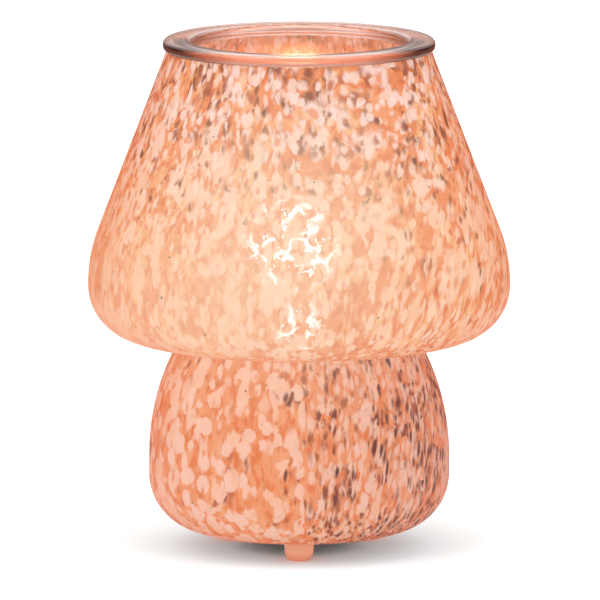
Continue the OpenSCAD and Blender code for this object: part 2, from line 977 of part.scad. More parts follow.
module plug_body() {
    color("white")
        plug_frame()
            difference() {
                union() {
                    translate([0, 0, -plug_tail_l])
                        cylinder(h = 2 * plug_tail_l, r1 = 3.4, r2 = 6.4);
                    translate([0, 0, plug_tail_l])
                        linear_extrude(plug_l - plug_tail_l)
                            rounded(plug_w - 3, plug_h - 2, 5);
                    translate([0, 0, plug_l - 7])
                        linear_extrude(7)
                            rounded(plug_w, plug_h, 6);
                }
                translate([0, 0, -plug_tail_l - 1])
                    cylinder(h = plug_tail_l + 1 + plug_cord_depth, r = cord_r + fit_gap);
                blade_plates(fit_gap);
            }
}

module plug_blades() {
    hole_z = plug_l + blade_out - 4;
    color("silver")
        plug_frame()
            difference() {
                blade_plates(0);
                translate([-plug_w, 0, hole_z])
                    rotate([0, 90, 0])
                        cylinder(h = 2 * plug_w, r = 1.6, $fn = 32);
                for (s = [-1, 1])
                    translate([0, s * (blade_plate_w / 2 + 0.4), plug_l + blade_out + 0.4])
                        rotate([45, 0, 0])
                            cube([3 * plug_w, 2.4, 2.4], center = true);
            }
}

glass_body();
wax_dish();
bumper_feet();
base_cap();
gasket_lower();
gasket_upper();
base_housing();
cap_screws();
cord_clamp();
cord_clamp_screws();
lamp_tube();
tube_nuts();
tube_washers();
tube_sleeve();
socket_cup();
socket_housing();
socket_screw_shell();
socket_centre_contact();
socket_rivets();
wire_live();
wire_neutral();
bulb_glass();
bulb_stem();
bulb_leads();
filament();
bulb_screw_shell();
bulb_insulator();
bulb_tip_contact();
lamp_cord();
plug_cord();
cord_tie();
switch_case_bottom();
switch_case_top();
switch_screws();
switch_terminals();
switch_blade();
switch_cores();
rocker();
plug_body();
plug_blades();
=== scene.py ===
"""Looks of an electric wax warmer: a lit, mottled glass vessel with a clear glass dish on top.

Lengths in this script are millimetres until a mesh is made; Blender's own units are metres.
"""

import json
from math import acos, asin, atan2, ceil, cos, degrees, pi, radians, sin, tan
from types import SimpleNamespace

import bmesh
import bpy
from mathutils import Matrix, Vector


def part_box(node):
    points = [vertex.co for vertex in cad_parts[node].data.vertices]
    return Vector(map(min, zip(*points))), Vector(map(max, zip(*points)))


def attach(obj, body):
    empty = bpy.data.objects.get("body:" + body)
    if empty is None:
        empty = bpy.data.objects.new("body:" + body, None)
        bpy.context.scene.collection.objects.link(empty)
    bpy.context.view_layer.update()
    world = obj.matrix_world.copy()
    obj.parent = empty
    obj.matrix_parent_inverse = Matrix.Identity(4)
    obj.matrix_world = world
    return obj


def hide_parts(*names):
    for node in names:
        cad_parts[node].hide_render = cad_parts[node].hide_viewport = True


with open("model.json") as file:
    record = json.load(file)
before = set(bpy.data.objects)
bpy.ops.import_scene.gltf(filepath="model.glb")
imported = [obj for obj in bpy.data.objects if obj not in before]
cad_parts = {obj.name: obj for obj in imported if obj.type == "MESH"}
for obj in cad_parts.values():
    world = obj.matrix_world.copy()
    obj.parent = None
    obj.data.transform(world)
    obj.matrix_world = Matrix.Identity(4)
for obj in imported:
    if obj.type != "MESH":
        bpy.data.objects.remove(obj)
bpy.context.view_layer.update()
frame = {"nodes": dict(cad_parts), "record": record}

MM = 0.001


# ---------------------------------------------------------------- frame in millimetres

class Box:
    """A CAD node's box at rest, in millimetres."""

    def __init__(self, node):
        lo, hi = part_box(node)
        self.x0, self.y0, self.z0 = (c / MM for c in lo)
        self.x1, self.y1, self.z1 = (c / MM for c in hi)
        self.cx = (self.x0 + self.x1) / 2
        self.cy = (self.y0 + self.y1) / 2
        self.cz = (self.z0 + self.z1) / 2
        self.w = self.x1 - self.x0
        self.l = self.y1 - self.y0
        self.h = self.z1 - self.z0
        self.r = self.w / 2


vessel = Box("glass_body")
bulb = Box("bulb_glass")
dish_box = Box("wax_dish")
switch_box = Box("switch_case_bottom")
globe_r = bulb.r
globe_z = bulb.z1 - globe_r


# ---------------------------------------------------------------- node trees

def srgb(r, g, b):
    """A colour given as 0 to 255 screen values, as linear light."""
    return tuple(((c / 255 + 0.055) / 1.055) ** 2.4 if c > 10 else c / 3295 for c in (r, g, b)) + (1,)


class Value:
    """A number somewhere in a node tree, which can be calculated with."""

    def __init__(self, look, socket):
        self.look = look
        self.socket = socket

    def math(self, kind, *others):
        return self.look.add("Math", {i: v for i, v in enumerate((self,) + others)}, operation=kind)

    def __add__(self, other):
        return self.math("ADD", other)

    def __sub__(self, other):
        return self.math("SUBTRACT", other)

    def __mul__(self, other):
        return self.math("MULTIPLY", other)

    def __truediv__(self, other):
        return self.math("DIVIDE", other)

    def __rsub__(self, other):
        return self.look.add("Math", {0: other, 1: self}, operation="SUBTRACT")

    __radd__ = __add__
    __rmul__ = __mul__

    def step(self, start, end, low=0.0, high=1.0):
        """Rises smoothly from low, at start, to high, at end."""
        return self.look.add("MapRange", {0: self, 1: start, 2: end, 3: low, 4: high},
                             interpolation_type="SMOOTHSTEP")

    def most(self, other):
        return self.math("MAXIMUM", other)


class Look:
    """A material and the few kinds of node that the looks here are made of."""

    def __init__(self, name):
        self.name = name
        self.material = bpy.data.materials.new(name)
        self.material.use_nodes = True
        self.tree = self.material.node_tree
        self.tree.nodes.clear()

    @classmethod
    def of(cls, tree):
        """The same kinds of node, in a tree that is already there."""
        look = cls.__new__(cls)
        look.tree = tree
        return look

    def add(self, kind, inputs, out=0, **settings):
        node = self.tree.nodes.new("ShaderNode" + kind)
        for key, value in settings.items():
            setattr(node, key, value)
        for key, value in inputs.items():
            if isinstance(value, Value):
                self.tree.links.new(value.socket, node.inputs[key])
            else:
                node.inputs[key].default_value = value
        return Value(self, node.outputs[out])

    def place(self):
        """The point being shaded, in millimetres."""
        point = self.add("TexCoord", {}, out="Object")
        return self.scaled(point, 1 / MM)

    def scaled(self, vector, factor):
        factor = factor if isinstance(factor, tuple) else (factor,) * 3
        return self.add("VectorMath", {0: vector, 1: factor}, operation="MULTIPLY")

    def vector(self, kind, a, b, out=0):
        return self.add("VectorMath", {0: a, 1: b}, out=out, operation=kind)

    def length(self, vector):
        return self.add("VectorMath", {0: vector}, out="Value", operation="LENGTH")

    def ray(self, kind):
        """1 for light paths of a kind, such as Camera, and 0 for the rest."""
        return self.add("LightPath", {}, out=f"Is {kind} Ray")

    def parts(self, vector):
        split = self.add("SeparateXYZ", {0: vector})
        return [Value(self, s) for s in split.socket.node.outputs]

    def noise(self, where, size, detail=2.0, rough=0.5, out="Fac"):
        """Cloudy noise whose blotches are about size millimetres."""
        return self.add("TexNoise", {"Vector": where, "Scale": 1 / size, "Detail": detail,
                                     "Roughness": rough}, out=out)

    def cells(self, where, size, out="Distance", feature="F1"):
        """Scattered cells about size millimetres across: distance, or a random colour for each."""
        return self.add("TexVoronoi", {"Vector": where, "Scale": 1 / size}, out=out, feature=feature)

    def bent(self, where, size, amount, detail=2.0):
        """The place, pushed about by noise, so that what is drawn there loses its straight lines."""
        push = self.noise(where, size, detail, out="Color")
        centred = self.vector("SUBTRACT", push, (0.5, 0.5, 0.5))
        return self.vector("ADD", where, self.scaled(centred, 2 * amount))

    def mix(self, factor, a, b, kind="MIX"):
        return self.add("Mix", {0: factor, 6: a, 7: b}, out=2, data_type="RGBA", blend_type=kind)

    def bump(self, height, depth, strength=1.0):
        """A normal for a surface whose relief is depth millimetres deep."""
        return self.add("Bump", {"Height": height, "Distance": depth * MM, "Strength": strength})

    def shade(self, **inputs):
        """Ends the tree in one Principled shader, and gives the look's name and its material."""
        named = {key.replace("_", " "): value for key, value in inputs.items()}
        named.setdefault("Roughness", 0.5)
        shader = self.add("BsdfPrincipled", named)
        output = self.tree.nodes.new("ShaderNodeOutputMaterial")
        self.tree.links.new(shader.socket, output.inputs["Surface"])
        return self.name, self.material


def dimmed(colour, factor):
    return tuple(c * factor for c in colour[:3]) + (1,)


# ---------------------------------------------------------------- materials

# How much of the lit glass's colour is its own light, and how much is light it reflects
EMITTED = 0.7
REFLECTED = 0.2


def glass_zones(look, here):
    """Where the pattern of the vessel's glass changes, and where its glow is raised as painted light:
    each goes from 0 to 1 over a stretch of it.
    """
    x, _, z = look.parts(here)
    across = x / 90
    body = z.step(98, 90)
    side = across.step(-0.25, 0.8)
    return SimpleNamespace(
        upper=z.step(145, 212),
        top=z.step(196, 219),
        side=side,
        body=body,
        low=body * z.step(92, 20),
        # waist: the top of the body, under the shade, where the glow is raised as painted light
        waist=body * z.step(55, 92),
        stained=body * side,
        even=body * (x / 60).step(0.35, -0.3),
        calm=across.step(0.1, -0.5) * z.step(165, 125) * (1 - body),
        lean=across.step(-0.1, 0.9) * (z - 120) * -0.0045,
    )


def amber_ground(look, zone, drawn, fine):
    """Clear amber glass between the chips."""
    cloud = look.noise(drawn, 13, 3)
    amber = look.mix(cloud.step(0.36, 0.62), srgb(252, 188, 140), srgb(242, 148, 98))
    amber = look.mix(zone.body * 0.7, amber, srgb(242, 154, 112))
    amber = look.mix(zone.stained * 0.8, amber, srgb(226, 146, 116))
    deep = look.noise(fine, 2.6, 3).step(0.46, 0.64) * 0.85
    return look.mix(deep, amber, srgb(232, 124, 74))


def chips(look, base, where, paint, seed, size, share, core, edge, cover):
    """Paints a share of scattered chips over a base colour, and says where they are.

    core is the size of the smallest chips against their cells, and edge is how soft they are."""
    spot = look.vector("ADD", where, (seed, seed * 1.7, seed * 0.6))
    pick, grow, tint = look.parts(look.cells(spot, size, out="Color"))
    radius = grow * 0.24 + core
    inside = (radius - look.cells(spot, size)).step(-edge, edge)
    chosen = (share - pick).step(0, 0.04)
    return look.mix(inside * chosen * cover, base, paint(tint)), inside * chosen


def chip_paints(look, zone):
    """The four kinds of frit, each as a colour that varies with a chip's own random tint."""
    milk = look.mix(zone.body, srgb(255, 210, 180), srgb(255, 202, 178))
    milk = look.mix(zone.low * 0.3, milk, srgb(238, 188, 172))
    milk = look.mix(zone.stained * 0.9, milk, srgb(232, 180, 164))
    milk = look.mix(zone.upper, milk, srgb(255, 222, 211))
    thin_milk = look.mix(0.5, milk, srgb(250, 184, 142))
    plum = look.mix(zone.body, srgb(122, 64, 50), srgb(86, 50, 58))
    return SimpleNamespace(
        pale=lambda tint: look.mix(tint.step(0.0, 0.8), thin_milk, milk),
        peach=lambda tint: look.mix(tint, srgb(245, 158, 108), srgb(228, 120, 72)),
        russet=lambda tint: look.mix(tint, srgb(202, 116, 80), srgb(146, 82, 58)),
        mauve=lambda tint: look.mix(tint, srgb(158, 84, 62), plum),
    )


def chipped(look, zone, here, turned, fine, flow, colour):
    """The chips over the ground: the colour, and where the large, small, tiny and brown ones are."""
    paint = chip_paints(look, zone)
    streak = look.scaled(fine, (1, 1, 0.85))
    broad = look.bent(look.scaled(look.bent(turned, 12, 2.4), (1, 1, 0.8)), 2.2, 0.8)

    # Chips are small where the gather was thick, at the top and in the body, and big between
    middle = (1 - zone.upper * 0.8) * (1 - zone.body * 0.75)
    large_share = middle * 0.62 + 0.06
    small_share = middle * 0.1 + zone.stained * 0.15 + 0.56 - zone.even * 0.36
    tiny_share = zone.upper * 0.24 + zone.body * 0.16 + zone.stained * 0.25 + 0.34 - zone.even * 0.3
    broad_share = zone.even * 0.72 + zone.low * 0.1
    peach_share = zone.side * 0.1 + 0.22 - zone.even * 0.1

    # Brown chips gather round the rim, and low down on one side, half buried by the pale ones
    gather = look.noise(here, 22, 2).step(0.3, 0.62)
    brown_share = zone.upper * 0.62 + zone.side * 0.16 + zone.body * 0.1 + zone.stained * 0.5
    brown_share = brown_share * gather + zone.top * 0.3 + zone.upper * 0.06 + 0.02
    stain_share = zone.stained * gather * 0.8
    mauve_share = (zone.low * zone.side + zone.upper * 0.2 + zone.stained * 0.9) * gather + 0.008

    masks = {}
    for name, where, kind, seed, size, share, core, edge, cover in (
            ("large", flow, paint.pale, 3, 7.6, large_share, 0.38, 0.12, 0.85),
            ("buried", streak, paint.russet, 53, 3.3, brown_share, 0.3, 0.26, 0.95),
            ("stain", streak, paint.mauve, 71, 4.4, stain_share, 0.26, 0.2, 0.95),
            ("small", fine, paint.pale, 11, 4.0, small_share, 0.36, 0.14, 0.85),
            ("brown", streak, paint.russet, 41, 2.5, brown_share * 0.75, 0.24, 0.28, 0.95),
            ("tiny", streak, paint.pale, 19, 2.7, tiny_share, 0.34, 0.16, 0.85),
            ("broad", broad, paint.pale, 33, 6.4, broad_share, 0.4, 0.07, 0.9),
            ("peach", streak, paint.peach, 27, 2.8, peach_share, 0.28, 0.2, 0.8),
            ("mauve", streak, paint.mauve, 63, 3.0, mauve_share, 0.24, 0.26, 0.95)):
        colour, masks[name] = chips(look, colour, where, kind, seed, size, share, core, edge, cover)
    return colour, SimpleNamespace(**masks)


def flawed(look, here, crack, colour):
    """Hairlines along the cracks, and small trapped seeds."""
    line = crack.step(0.02, 0.0) * look.noise(here, 9, 1).step(0.5, 0.6)
    colour = look.mix(line * 0.3, colour, srgb(170, 100, 70))
    speck = look.cells(look.vector("ADD", here, (5, 5, 5)), 7.5).step(0.07, 0.045)
    return look.mix(speck * look.noise(here, 40, 1).step(0.5, 0.56), colour, srgb(60, 30, 26))


def bulb_shine(look, here, crack, gap):
    """Where the bulb shows through clear gaps along the line of sight past it, and its wide halo."""
    sight = look.add("NewGeometry", {}, out="Incoming")

    def missed_by(centre):
        """How far the line of sight passes from a place, in millimetres."""
        to_centre = look.vector("SUBTRACT", centre, here)
        return look.length(look.vector("CROSS_PRODUCT", to_centre, sight))

    miss = missed_by((-3, 0, globe_z + 4))
    neck = missed_by((0, 0, globe_z - 33))
    near = look.noise(here, 8, 2).step(0.4, 0.55)
    thin = crack.step(0.11, 0.0) * near + crack.step(0.24, 0.0) * near * 0.16
    blob = look.noise(look.bent(here, 4, 2), 5, 3, 0.7).step(0.55, 0.63)
    hot = (miss.step(25, 12) + neck.step(14, 5) * 0.8) * thin.most(blob * gap)
    return hot, miss.step(88, 5)


def mottled_glass():
    """Blown glass rolled in chips of pale and brown frit, frosted outside and lit from inside."""
    look = Look("mottled_glass")
    here = look.place()
    zone = glass_zones(look, here)

    # The gather was turned while it was drawn out, so that the chips lean more on one side
    turned = look.add("VectorRotate", {"Vector": here, "Angle": zone.lean}, rotation_type="Z_AXIS")
    drawn = look.scaled(turned, (1, 1, 0.5))
    flow = look.bent(look.bent(drawn, 16, 3.6), 3.2, 1.3)
    fine = look.bent(look.bent(drawn, 11, 2.8), 1.5, 0.65)
    colour = amber_ground(look, zone, drawn, fine)
    colour, chip = chipped(look, zone, here, turned, fine, flow, colour)

    # On the far side from the lean, low in the shade, the glass is thin and even
    colour = look.mix(zone.calm * 0.38, colour, srgb(255, 204, 168))
    crack = look.cells(look.bent(look.bent(here, 9, 3.6), 2.5, 0.9), 12, feature="DISTANCE_TO_EDGE")
    colour = flawed(look, here, crack, colour)

    # Where the wall faces away, more glass is looked through, and the colour is deeper
    rim = look.add("LayerWeight", {"Blend": 0.5}, out="Facing").step(0.3, 1.0)
    colour = look.mix(rim * 0.62, colour, look.mix(1.0, colour, srgb(236, 172, 134), "MULTIPLY"))

    gap = (1 - chip.large * 0.7) * (1 - chip.small * 0.8) * (1 - chip.brown)
    hot, halo = bulb_shine(look, here, crack, gap)
    colour = look.mix(halo * 0.38, colour, srgb(255, 236, 206))

    # The floor is lit by the outside as by plain grey glass, so that the lamp does not colour it
    normal = look.add("NewGeometry", {}, out="Normal")
    from_middle = look.vector("SUBTRACT", here, (0, 0, 80))
    outward = look.vector("DOT_PRODUCT", normal, from_middle, out="Value").step(-0.001, 0.001)
    # Painted light: the inner face glows paler than the outer, as if lit straight by the bulb
    inner = look.mix(0.4, colour, srgb(252, 190, 154))
    light = look.mix(hot, look.mix(outward, inner, colour), (1.7, 1.68, 1.6, 1))
    light = look.mix(look.ray("Diffuse") * outward, light, (0.5, 0.5, 0.51, 1))
    frost = look.noise(here, 0.35, 2)
    relief = chip.large * 0.6 + chip.small * 0.4 + chip.tiny * 0.2 + frost * 0.12
    # Frosted outside, but smooth enough inside to mirror the bulb
    return look.shade(
        Base_Color=look.mix(1 - REFLECTED, colour, (0, 0, 0, 1)),
        Roughness=frost * 0.12 + outward * 0.34 + 0.16,
        Specular_IOR_Level=0.5 - outward * 0.34,
        Emission_Color=light,
        # Painted light: the top of the body glows a little brighter towards the shade
        Emission_Strength=EMITTED + zone.waist * 0.07,
        Normal=look.bump(relief, 0.06, 0.5),
    )


def clear_glass():
    """Pressed clear glass of the dish, with slight waves, the lamp's light led up into its rim, and
    painted shade darkening the flange's ends at left and right.
    """
    look = Look("clear_glass")
    here = look.place()
    x, _, z = look.parts(here)
    below_top = dish_box.z1 - z
    flange = below_top.step(5.5, 4.5) * below_top.step(0.1, 1.5)
    wave = look.noise(look.scaled(here, (1, 1, 2.5)), 14, 2)
    press = look.noise(look.scaled(here, (0.35, 0.35, 6)), 3, 2)
    led = look.mix(press.step(0.35, 0.65), srgb(244, 150, 110), srgb(255, 196, 158))
    inward = (x.math("ABSOLUTE") / dish_box.r).step(0.94, 0.4)
    outer = (look.length(look.scaled(here, (1, 1, 0))) / dish_box.r).step(0.93, 0.985)
    tint = look.mix(flange, srgb(248, 230, 224), srgb(214, 186, 182))
    # Painted shade: towards its left and right ends the flange turns dark brown, darkest on its outer
    # face
    tint = look.mix(flange * (1 - inward) * 0.85, tint, srgb(196, 128, 110))
    return look.shade(
        Base_Color=look.mix(outer * (1 - inward) * 0.9, tint, srgb(104, 56, 46)),
        Roughness=look.noise(here, 20, 2) * 0.06 + flange * 0.1 + 0.02,
        IOR=1.5,
        Transmission_Weight=1.0,
        Emission_Color=led,
        Emission_Strength=flange * inward * 0.12,
        Normal=look.bump(wave + press * 0.2, 0.12, 0.6),
    )


def clear_foot():
    """Soft clear rubber of the bumper feet, with a painted orange glow that is lighter at the top, and
    painted shade at their edges.
    """
    look = Look("clear_foot")
    here = look.place()
    _, _, z = look.parts(here)
    facing = look.add("LayerWeight", {"Blend": 0.4}, out="Facing")
    # Painted light: the feet glow orange, lighter higher up, and darken where they turn away as painted
    # shade
    glow = look.mix(z.step(0, 7), srgb(214, 120, 84), srgb(240, 156, 118))
    glow = look.mix(facing.step(0.3, 0.9), glow, srgb(150, 70, 44))
    return look.shade(
        Base_Color=srgb(246, 190, 156),
        Roughness=look.noise(here, 3, 2) * 0.12 + 0.12,
        IOR=1.4,
        Transmission_Weight=0.5,
        Emission_Color=glow,
        Emission_Strength=0.2,
        Normal=look.bump(look.noise(here, 2, 2), 0.05, 0.5),
    )


def moulded(name, colour, rough, grain=0.5, depth=0.02, **more):
    """Moulded plastic or rubber: a fine spark-eroded grain, slight colour drift, duller on high spots."""
    look = Look(name)
    here = look.place()
    texture = look.noise(here, grain, 3)
    drift = look.noise(here, 18, 2)
    return look.shade(
        Base_Color=look.mix(drift.step(0.3, 0.7), dimmed(colour, 0.95), colour),
        Roughness=texture * 0.16 + rough - 0.08,
        Normal=look.bump(texture, depth, 0.6),
        **more,
    )


def metal(name, colour, rough, grain=(1, 1, 14)):
    """Turned or drawn metal: fine marks along one way, with darker stains."""
    look = Look(name)
    here = look.place()
    marks = look.noise(look.scaled(here, grain), 0.8, 3, 0.6)
    stain = look.noise(here, 5, 4, 0.6)
    return look.shade(
        Base_Color=look.mix(stain.step(0.35, 0.75), colour, dimmed(colour, 0.72)),
        Metallic=1.0,
        Roughness=marks * 0.2 + rough - 0.1,
        Normal=look.bump(marks, 0.01, 0.5),
    )


def bulb_glass():
    """Thin clear glass of the lit globe."""
    look = Look("bulb_glass")
    here = look.place()
    return look.shade(
        Base_Color=srgb(255, 246, 232),
        Roughness=look.noise(here, 12, 2) * 0.06 + 0.02,
        IOR=1.1,
        Transmission_Weight=1.0,
        Emission_Color=srgb(255, 226, 180),
        Emission_Strength=0.9,
    )


def tungsten():
    """The glowing coil."""
    look = Look("tungsten")
    here = look.place()
    heat = look.noise(here, 3, 2)
    return look.shade(
        Base_Color=srgb(255, 214, 150),
        Roughness=0.6,
        Emission_Color=look.mix(heat, srgb(255, 214, 150), srgb(255, 240, 205)),
        Emission_Strength=14.0,
    )


def tie_fabric():
    """Woven hook-and-loop tape."""
    look = Look("tie_fabric")
    here = look.place()
    ribs = look.add("TexWave", {"Vector": here, "Scale": 0.9, "Distortion": 0.6}, out="Fac",
                    bands_direction="X")
    weave = ribs * 0.5 + look.noise(here, 0.5, 4, 0.7)
    return look.shade(
        Base_Color=look.mix(weave.step(0.3, 1.1), srgb(96, 94, 92), srgb(158, 155, 151)),
        Roughness=0.95,
        Sheen_Weight=0.4,
        Normal=look.bump(weave, 0.15, 0.8),
    )


LOOKS = dict((
    mottled_glass(),
    clear_glass(),
    clear_foot(),
    moulded("white_plastic", srgb(226, 225, 220), 0.42),
    moulded("silicone", srgb(214, 214, 212), 0.6, 0.8, 0.03),
    metal("zinc_steel", srgb(200, 203, 206), 0.34),
    metal("brass", srgb(214, 176, 98), 0.3),
    moulded("phenolic", srgb(38, 34, 32), 0.36, 0.7, 0.03),
    metal("nickel", srgb(206, 204, 198), 0.24),
    bulb_glass(),
    tungsten(),
    moulded("black_glass", srgb(22, 20, 22), 0.18, 1.5, 0.02, Coat_Weight=0.6),
    moulded("wire_black", srgb(26, 26, 27), 0.45, 0.3, 0.01),
    moulded("wire_white", srgb(232, 231, 226), 0.45, 0.3, 0.01),
    moulded("cord_pvc", srgb(224, 221, 213), 0.5, 0.4, 0.02),
    tie_fabric(),
))


# ---------------------------------------------------------------- mesh building

def shown(obj):
    """Puts an object in the scene."""
    bpy.context.scene.collection.objects.link(obj)
    return obj


def polar(r, angle):
    """The point at an angle in degrees on a circle about the lamp's axis."""
    return r * cos(radians(angle)), r * sin(radians(angle))


def arc(centre, r, start, end, steps=12):
    """Points of an arc about a centre, from one angle in degrees to another."""
    angles = [radians(start + (end - start) * i / steps) for i in range(steps + 1)]
    return [(centre[0] + r * cos(a), centre[1] + r * sin(a)) for a in angles]


def turned(outline, steps=96, centre=(0, 0), shape=None):
    """Vertices and faces of a closed outline of (radius, height) points turned about a vertical axis.

    shape, if given, changes a point's radius and height at each angle."""
    verts, faces, rings = [], [], []
    for r, z in outline:
        on_axis = r < 1e-6
        ring = []
        for i in range(1 if on_axis else steps):
            a = 2 * pi * i / steps
            rr, zz = shape(r, z, a) if shape and not on_axis else (r, z)
            ring.append(len(verts))
            verts.append((centre[0] + rr * cos(a), centre[1] + rr * sin(a), zz))
        rings.append(ring)
    for a, b in zip(rings, rings[1:] + rings[:1]):
        if len(a) == 1 and len(b) == 1:
            continue
        for i in range(steps):
            j = (i + 1) % steps
            face = [a[i % len(a)], a[j % len(a)], b[j % len(b)], b[i % len(b)]]
            faces.append(list(dict.fromkeys(face)))
    return verts, faces


def lofted(rings):
    """Vertices and faces through rings of points, closed by a face at each end."""
    count = len(rings[0])
    verts = [point for ring in rings for point in ring]
    faces = []
    for k in range(len(rings) - 1):
        a, b = k * count, (k + 1) * count
        faces += [[a + i, a + (i + 1) % count, b + (i + 1) % count, b + i] for i in range(count)]
    faces.append(list(range(count)))
    faces.append(list(range(len(verts) - count, len(verts))))
    return verts, faces


def swept(path, section):
    """A closed section of (side, up) points carried along a path of points."""
    points = [Vector(p) for p in path]
    heading = (points[1] - points[0]).normalized()
    side = heading.orthogonal().normalized()
    rings = []
    for k, point in enumerate(points):
        ahead = points[min(k + 1, len(points) - 1)]
        behind = points[max(k - 1, 0)]
        new = (ahead - behind).normalized()
        side = (heading.rotation_difference(new) @ side).normalized()
        heading = new
        up = heading.cross(side)
        rings.append([tuple(point + side * s + up * u) for s, u in section])
    return lofted(rings)


def circle(r, steps=20):
    return [(r * cos(2 * pi * i / steps), r * sin(2 * pi * i / steps)) for i in range(steps)]


def rounded(w, l, r, z, steps=8):
    """Points round a rectangle with rounded corners, at height z."""
    ring = []
    for sx, sy, start in ((1, 1, 0), (-1, 1, 90), (-1, -1, 180), (1, -1, 270)):
        corner = (sx * (w / 2 - r), sy * (l / 2 - r))
        ring += [(x, y, z) for x, y in arc(corner, r, start, start + 90, steps)]
    return ring


def block(w, l, z0, z1, corner, low=0.3, high=0.3):
    """An upright block with rounded corners, whose edges below and above are rounded too."""
    rings = []
    for z, out, r, angles in ((z0, 1, low, range(0, 91, 18)), (z1, -1, high, range(90, -1, -18))):
        for t in (radians(a) for a in angles):
            inset = r * (1 - sin(t))
            rings.append(rounded(w - 2 * inset, l - 2 * inset, corner - inset,
                                 z + out * r * (1 - cos(t))))
    return lofted(rings)


def rod(r, z0, z1, steps=32):
    return turned([(0, z0), (r, z0), (r, z1), (0, z1)], steps)


def tube(inner_r, outer_r, z0, z1, edge, steps=96, shape=None):
    """A tube with small bevels on its four edges."""
    return turned([(inner_r + edge, z0), (outer_r - edge, z0), (outer_r, z0 + edge),
                   (outer_r, z1 - edge), (outer_r - edge, z1), (inner_r + edge, z1),
                   (inner_r, z1 - edge), (inner_r, z0 + edge)], steps, shape=shape)


def threaded(outline, r, z0, z1, pitch, depth, steps=48, rows=8):
    """A turned outline whose None stands for a right-hand thread from z0 to z1, with crest r."""
    count = ceil((z1 - z0) / pitch * rows)
    side = [(r, z0 + (z1 - z0) * i / count) for i in range(count + 1)]

    def groove(rr, z, a):
        if rr < r or not z0 <= z <= z1:
            return rr, z
        runout = min(1, (z - z0) / (pitch * 0.6), (z1 - z) / (pitch * 0.6))
        return rr - depth * (0.5 - 0.5 * cos(2 * pi * z / pitch - a)) * runout, z

    return turned([q for p in outline for q in (side if p is None else [p])], steps, shape=groove)


def moved(shape, place=(0, 0, 0), axis=(0, 0, 1), turn=0.0):
    """A shape turned about +Z, then tipped so that its +Z points along axis, then moved."""
    spin = Vector((0, 0, 1)).rotation_difference(Vector(axis)).to_matrix()
    spin = spin @ Matrix.Rotation(radians(turn), 3, "Z")
    return [tuple(spin @ Vector(v) + Vector(place)) for v in shape[0]], shape[1]


def joined(*parts):
    """Several (vertices, faces) as one."""
    verts, faces = [], []
    for v, f in parts:
        faces += [[i + len(verts) for i in face] for face in f]
        verts += v
    return verts, faces


def meshed(name, shape, scale=1.0):
    """A mesh of (vertices, faces), with its faces outward."""
    mesh = bpy.data.meshes.new(name)
    mesh.from_pydata([Vector(v) * scale for v in shape[0]], [], shape[1])
    work = bmesh.new()
    work.from_mesh(mesh)
    bmesh.ops.recalc_face_normals(work, faces=work.faces)
    work.to_mesh(mesh)
    work.free()
    return mesh


def combined(kind, shape, *others):
    """A shape with others added to it (UNION) or cut from it (DIFFERENCE)."""
    for other in others:
        base = shown(bpy.data.objects.new("base", meshed("base", shape)))
        tool = shown(bpy.data.objects.new("tool", meshed("tool", other)))
        step = base.modifiers.new("step", "BOOLEAN")
        step.operation = kind
        step.solver = "EXACT"
        step.object = tool
        done = base.evaluated_get(bpy.context.evaluated_depsgraph_get()).to_mesh()
        shape = ([tuple(v.co) for v in done.vertices], [list(f.vertices) for f in done.polygons])
        for used in (base, tool):
            bpy.data.meshes.remove(used.data)
    return shape


def piece(name, shape, slot, node, body="lamp", sharp=32):
    """A new piece from (vertices, faces), in place of a CAD node or of a part of one."""
    mesh = meshed(name, shape, MM)
    mesh.shade_smooth()
    mesh.set_sharp_from_angle(angle=radians(sharp))
    mesh.materials.append(LOOKS[slot])
    obj = shown(bpy.data.objects.new(name, mesh))
    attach(obj, body)
    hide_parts(node)
    return obj


def softened(node, width):
    """Rounds the edges of a CAD piece that keeps its shape."""
    obj = frame["nodes"][node]
    flat = obj.modifiers.new("flat", "DECIMATE")
    flat.decimate_type = "DISSOLVE"
    flat.angle_limit = radians(1)
    edges = obj.modifiers.new("edges", "BEVEL")
    edges.width = width * MM
    edges.segments = 3
    edges.limit_method = "ANGLE"
    edges.angle_limit = radians(50)


# ---------------------------------------------------------------- glass vessel, dish and feet

def vessel_outline(depth):
    """Side of the vessel from heel to rim, set in from its outer face by depth."""
    heel_r, belly_r, lip_r, shoulder_r = 24.7, 104.0, 23.0, 65.0
    body_r, belly_z, neck_z, lean = 66.4, 41.0, 94.0, 20.9
    heel = (body_r - heel_r, vessel.z0 + heel_r)
    lip = (vessel.r - lip_r, neck_z + lip_r)
    shoulder = (vessel.r - shoulder_r, lip[1] + 1.3)
    neck_turn = degrees(asin((neck_z + depth - belly_z) / (belly_r - depth)))
    cone_r = shoulder[0] + shoulder_r * cos(radians(lean))
    cone_z = shoulder[1] + shoulder_r * sin(radians(lean))
    rim_r = cone_r - (vessel.z1 - cone_z) * tan(radians(lean))
    side = arc(heel, heel_r - depth, -90, 0, 24)
    side += arc((body_r - belly_r, belly_z), belly_r - depth, 0, neck_turn, 24)
    side += arc(lip, lip_r - depth, -90, 0, 28)
    side += arc(shoulder, shoulder_r - depth, 0, lean, 14)
    return side, (rim_r - depth / cos(radians(lean)), vessel.z1)


def glass_vessel():
    wall, edge, hole_r = 3.0, 0.4, 22.0
    outer, (outer_r, top) = vessel_outline(0)
    inner, (inner_r, top) = vessel_outline(wall)

    def up_cone(side, rim_r, rows=18):
        """Points up the straight side, so that its faces stay short."""
        r, z = side[-1]
        return [(r + (rim_r - r) * i / rows, z + (top - edge - z) * i / rows) for i in range(1, rows)]

    floor = vessel.z0
    outer += up_cone(outer, outer_r)
    inner += up_cone(inner, inner_r)
    outline = [(hole_r, floor + edge), (hole_r + edge, floor)]
    outline += outer + [(outer_r + edge * 0.3, top - edge), (outer_r - edge, top)]
    outline += [(inner_r + edge, top), (inner_r, top - edge)] + inner[::-1]
    outline += [(hole_r + edge, floor + wall), (hole_r, floor + wall - edge)]
    piece("glass_vessel", turned(outline, 288), "mottled_glass", "glass_body", sharp=40)


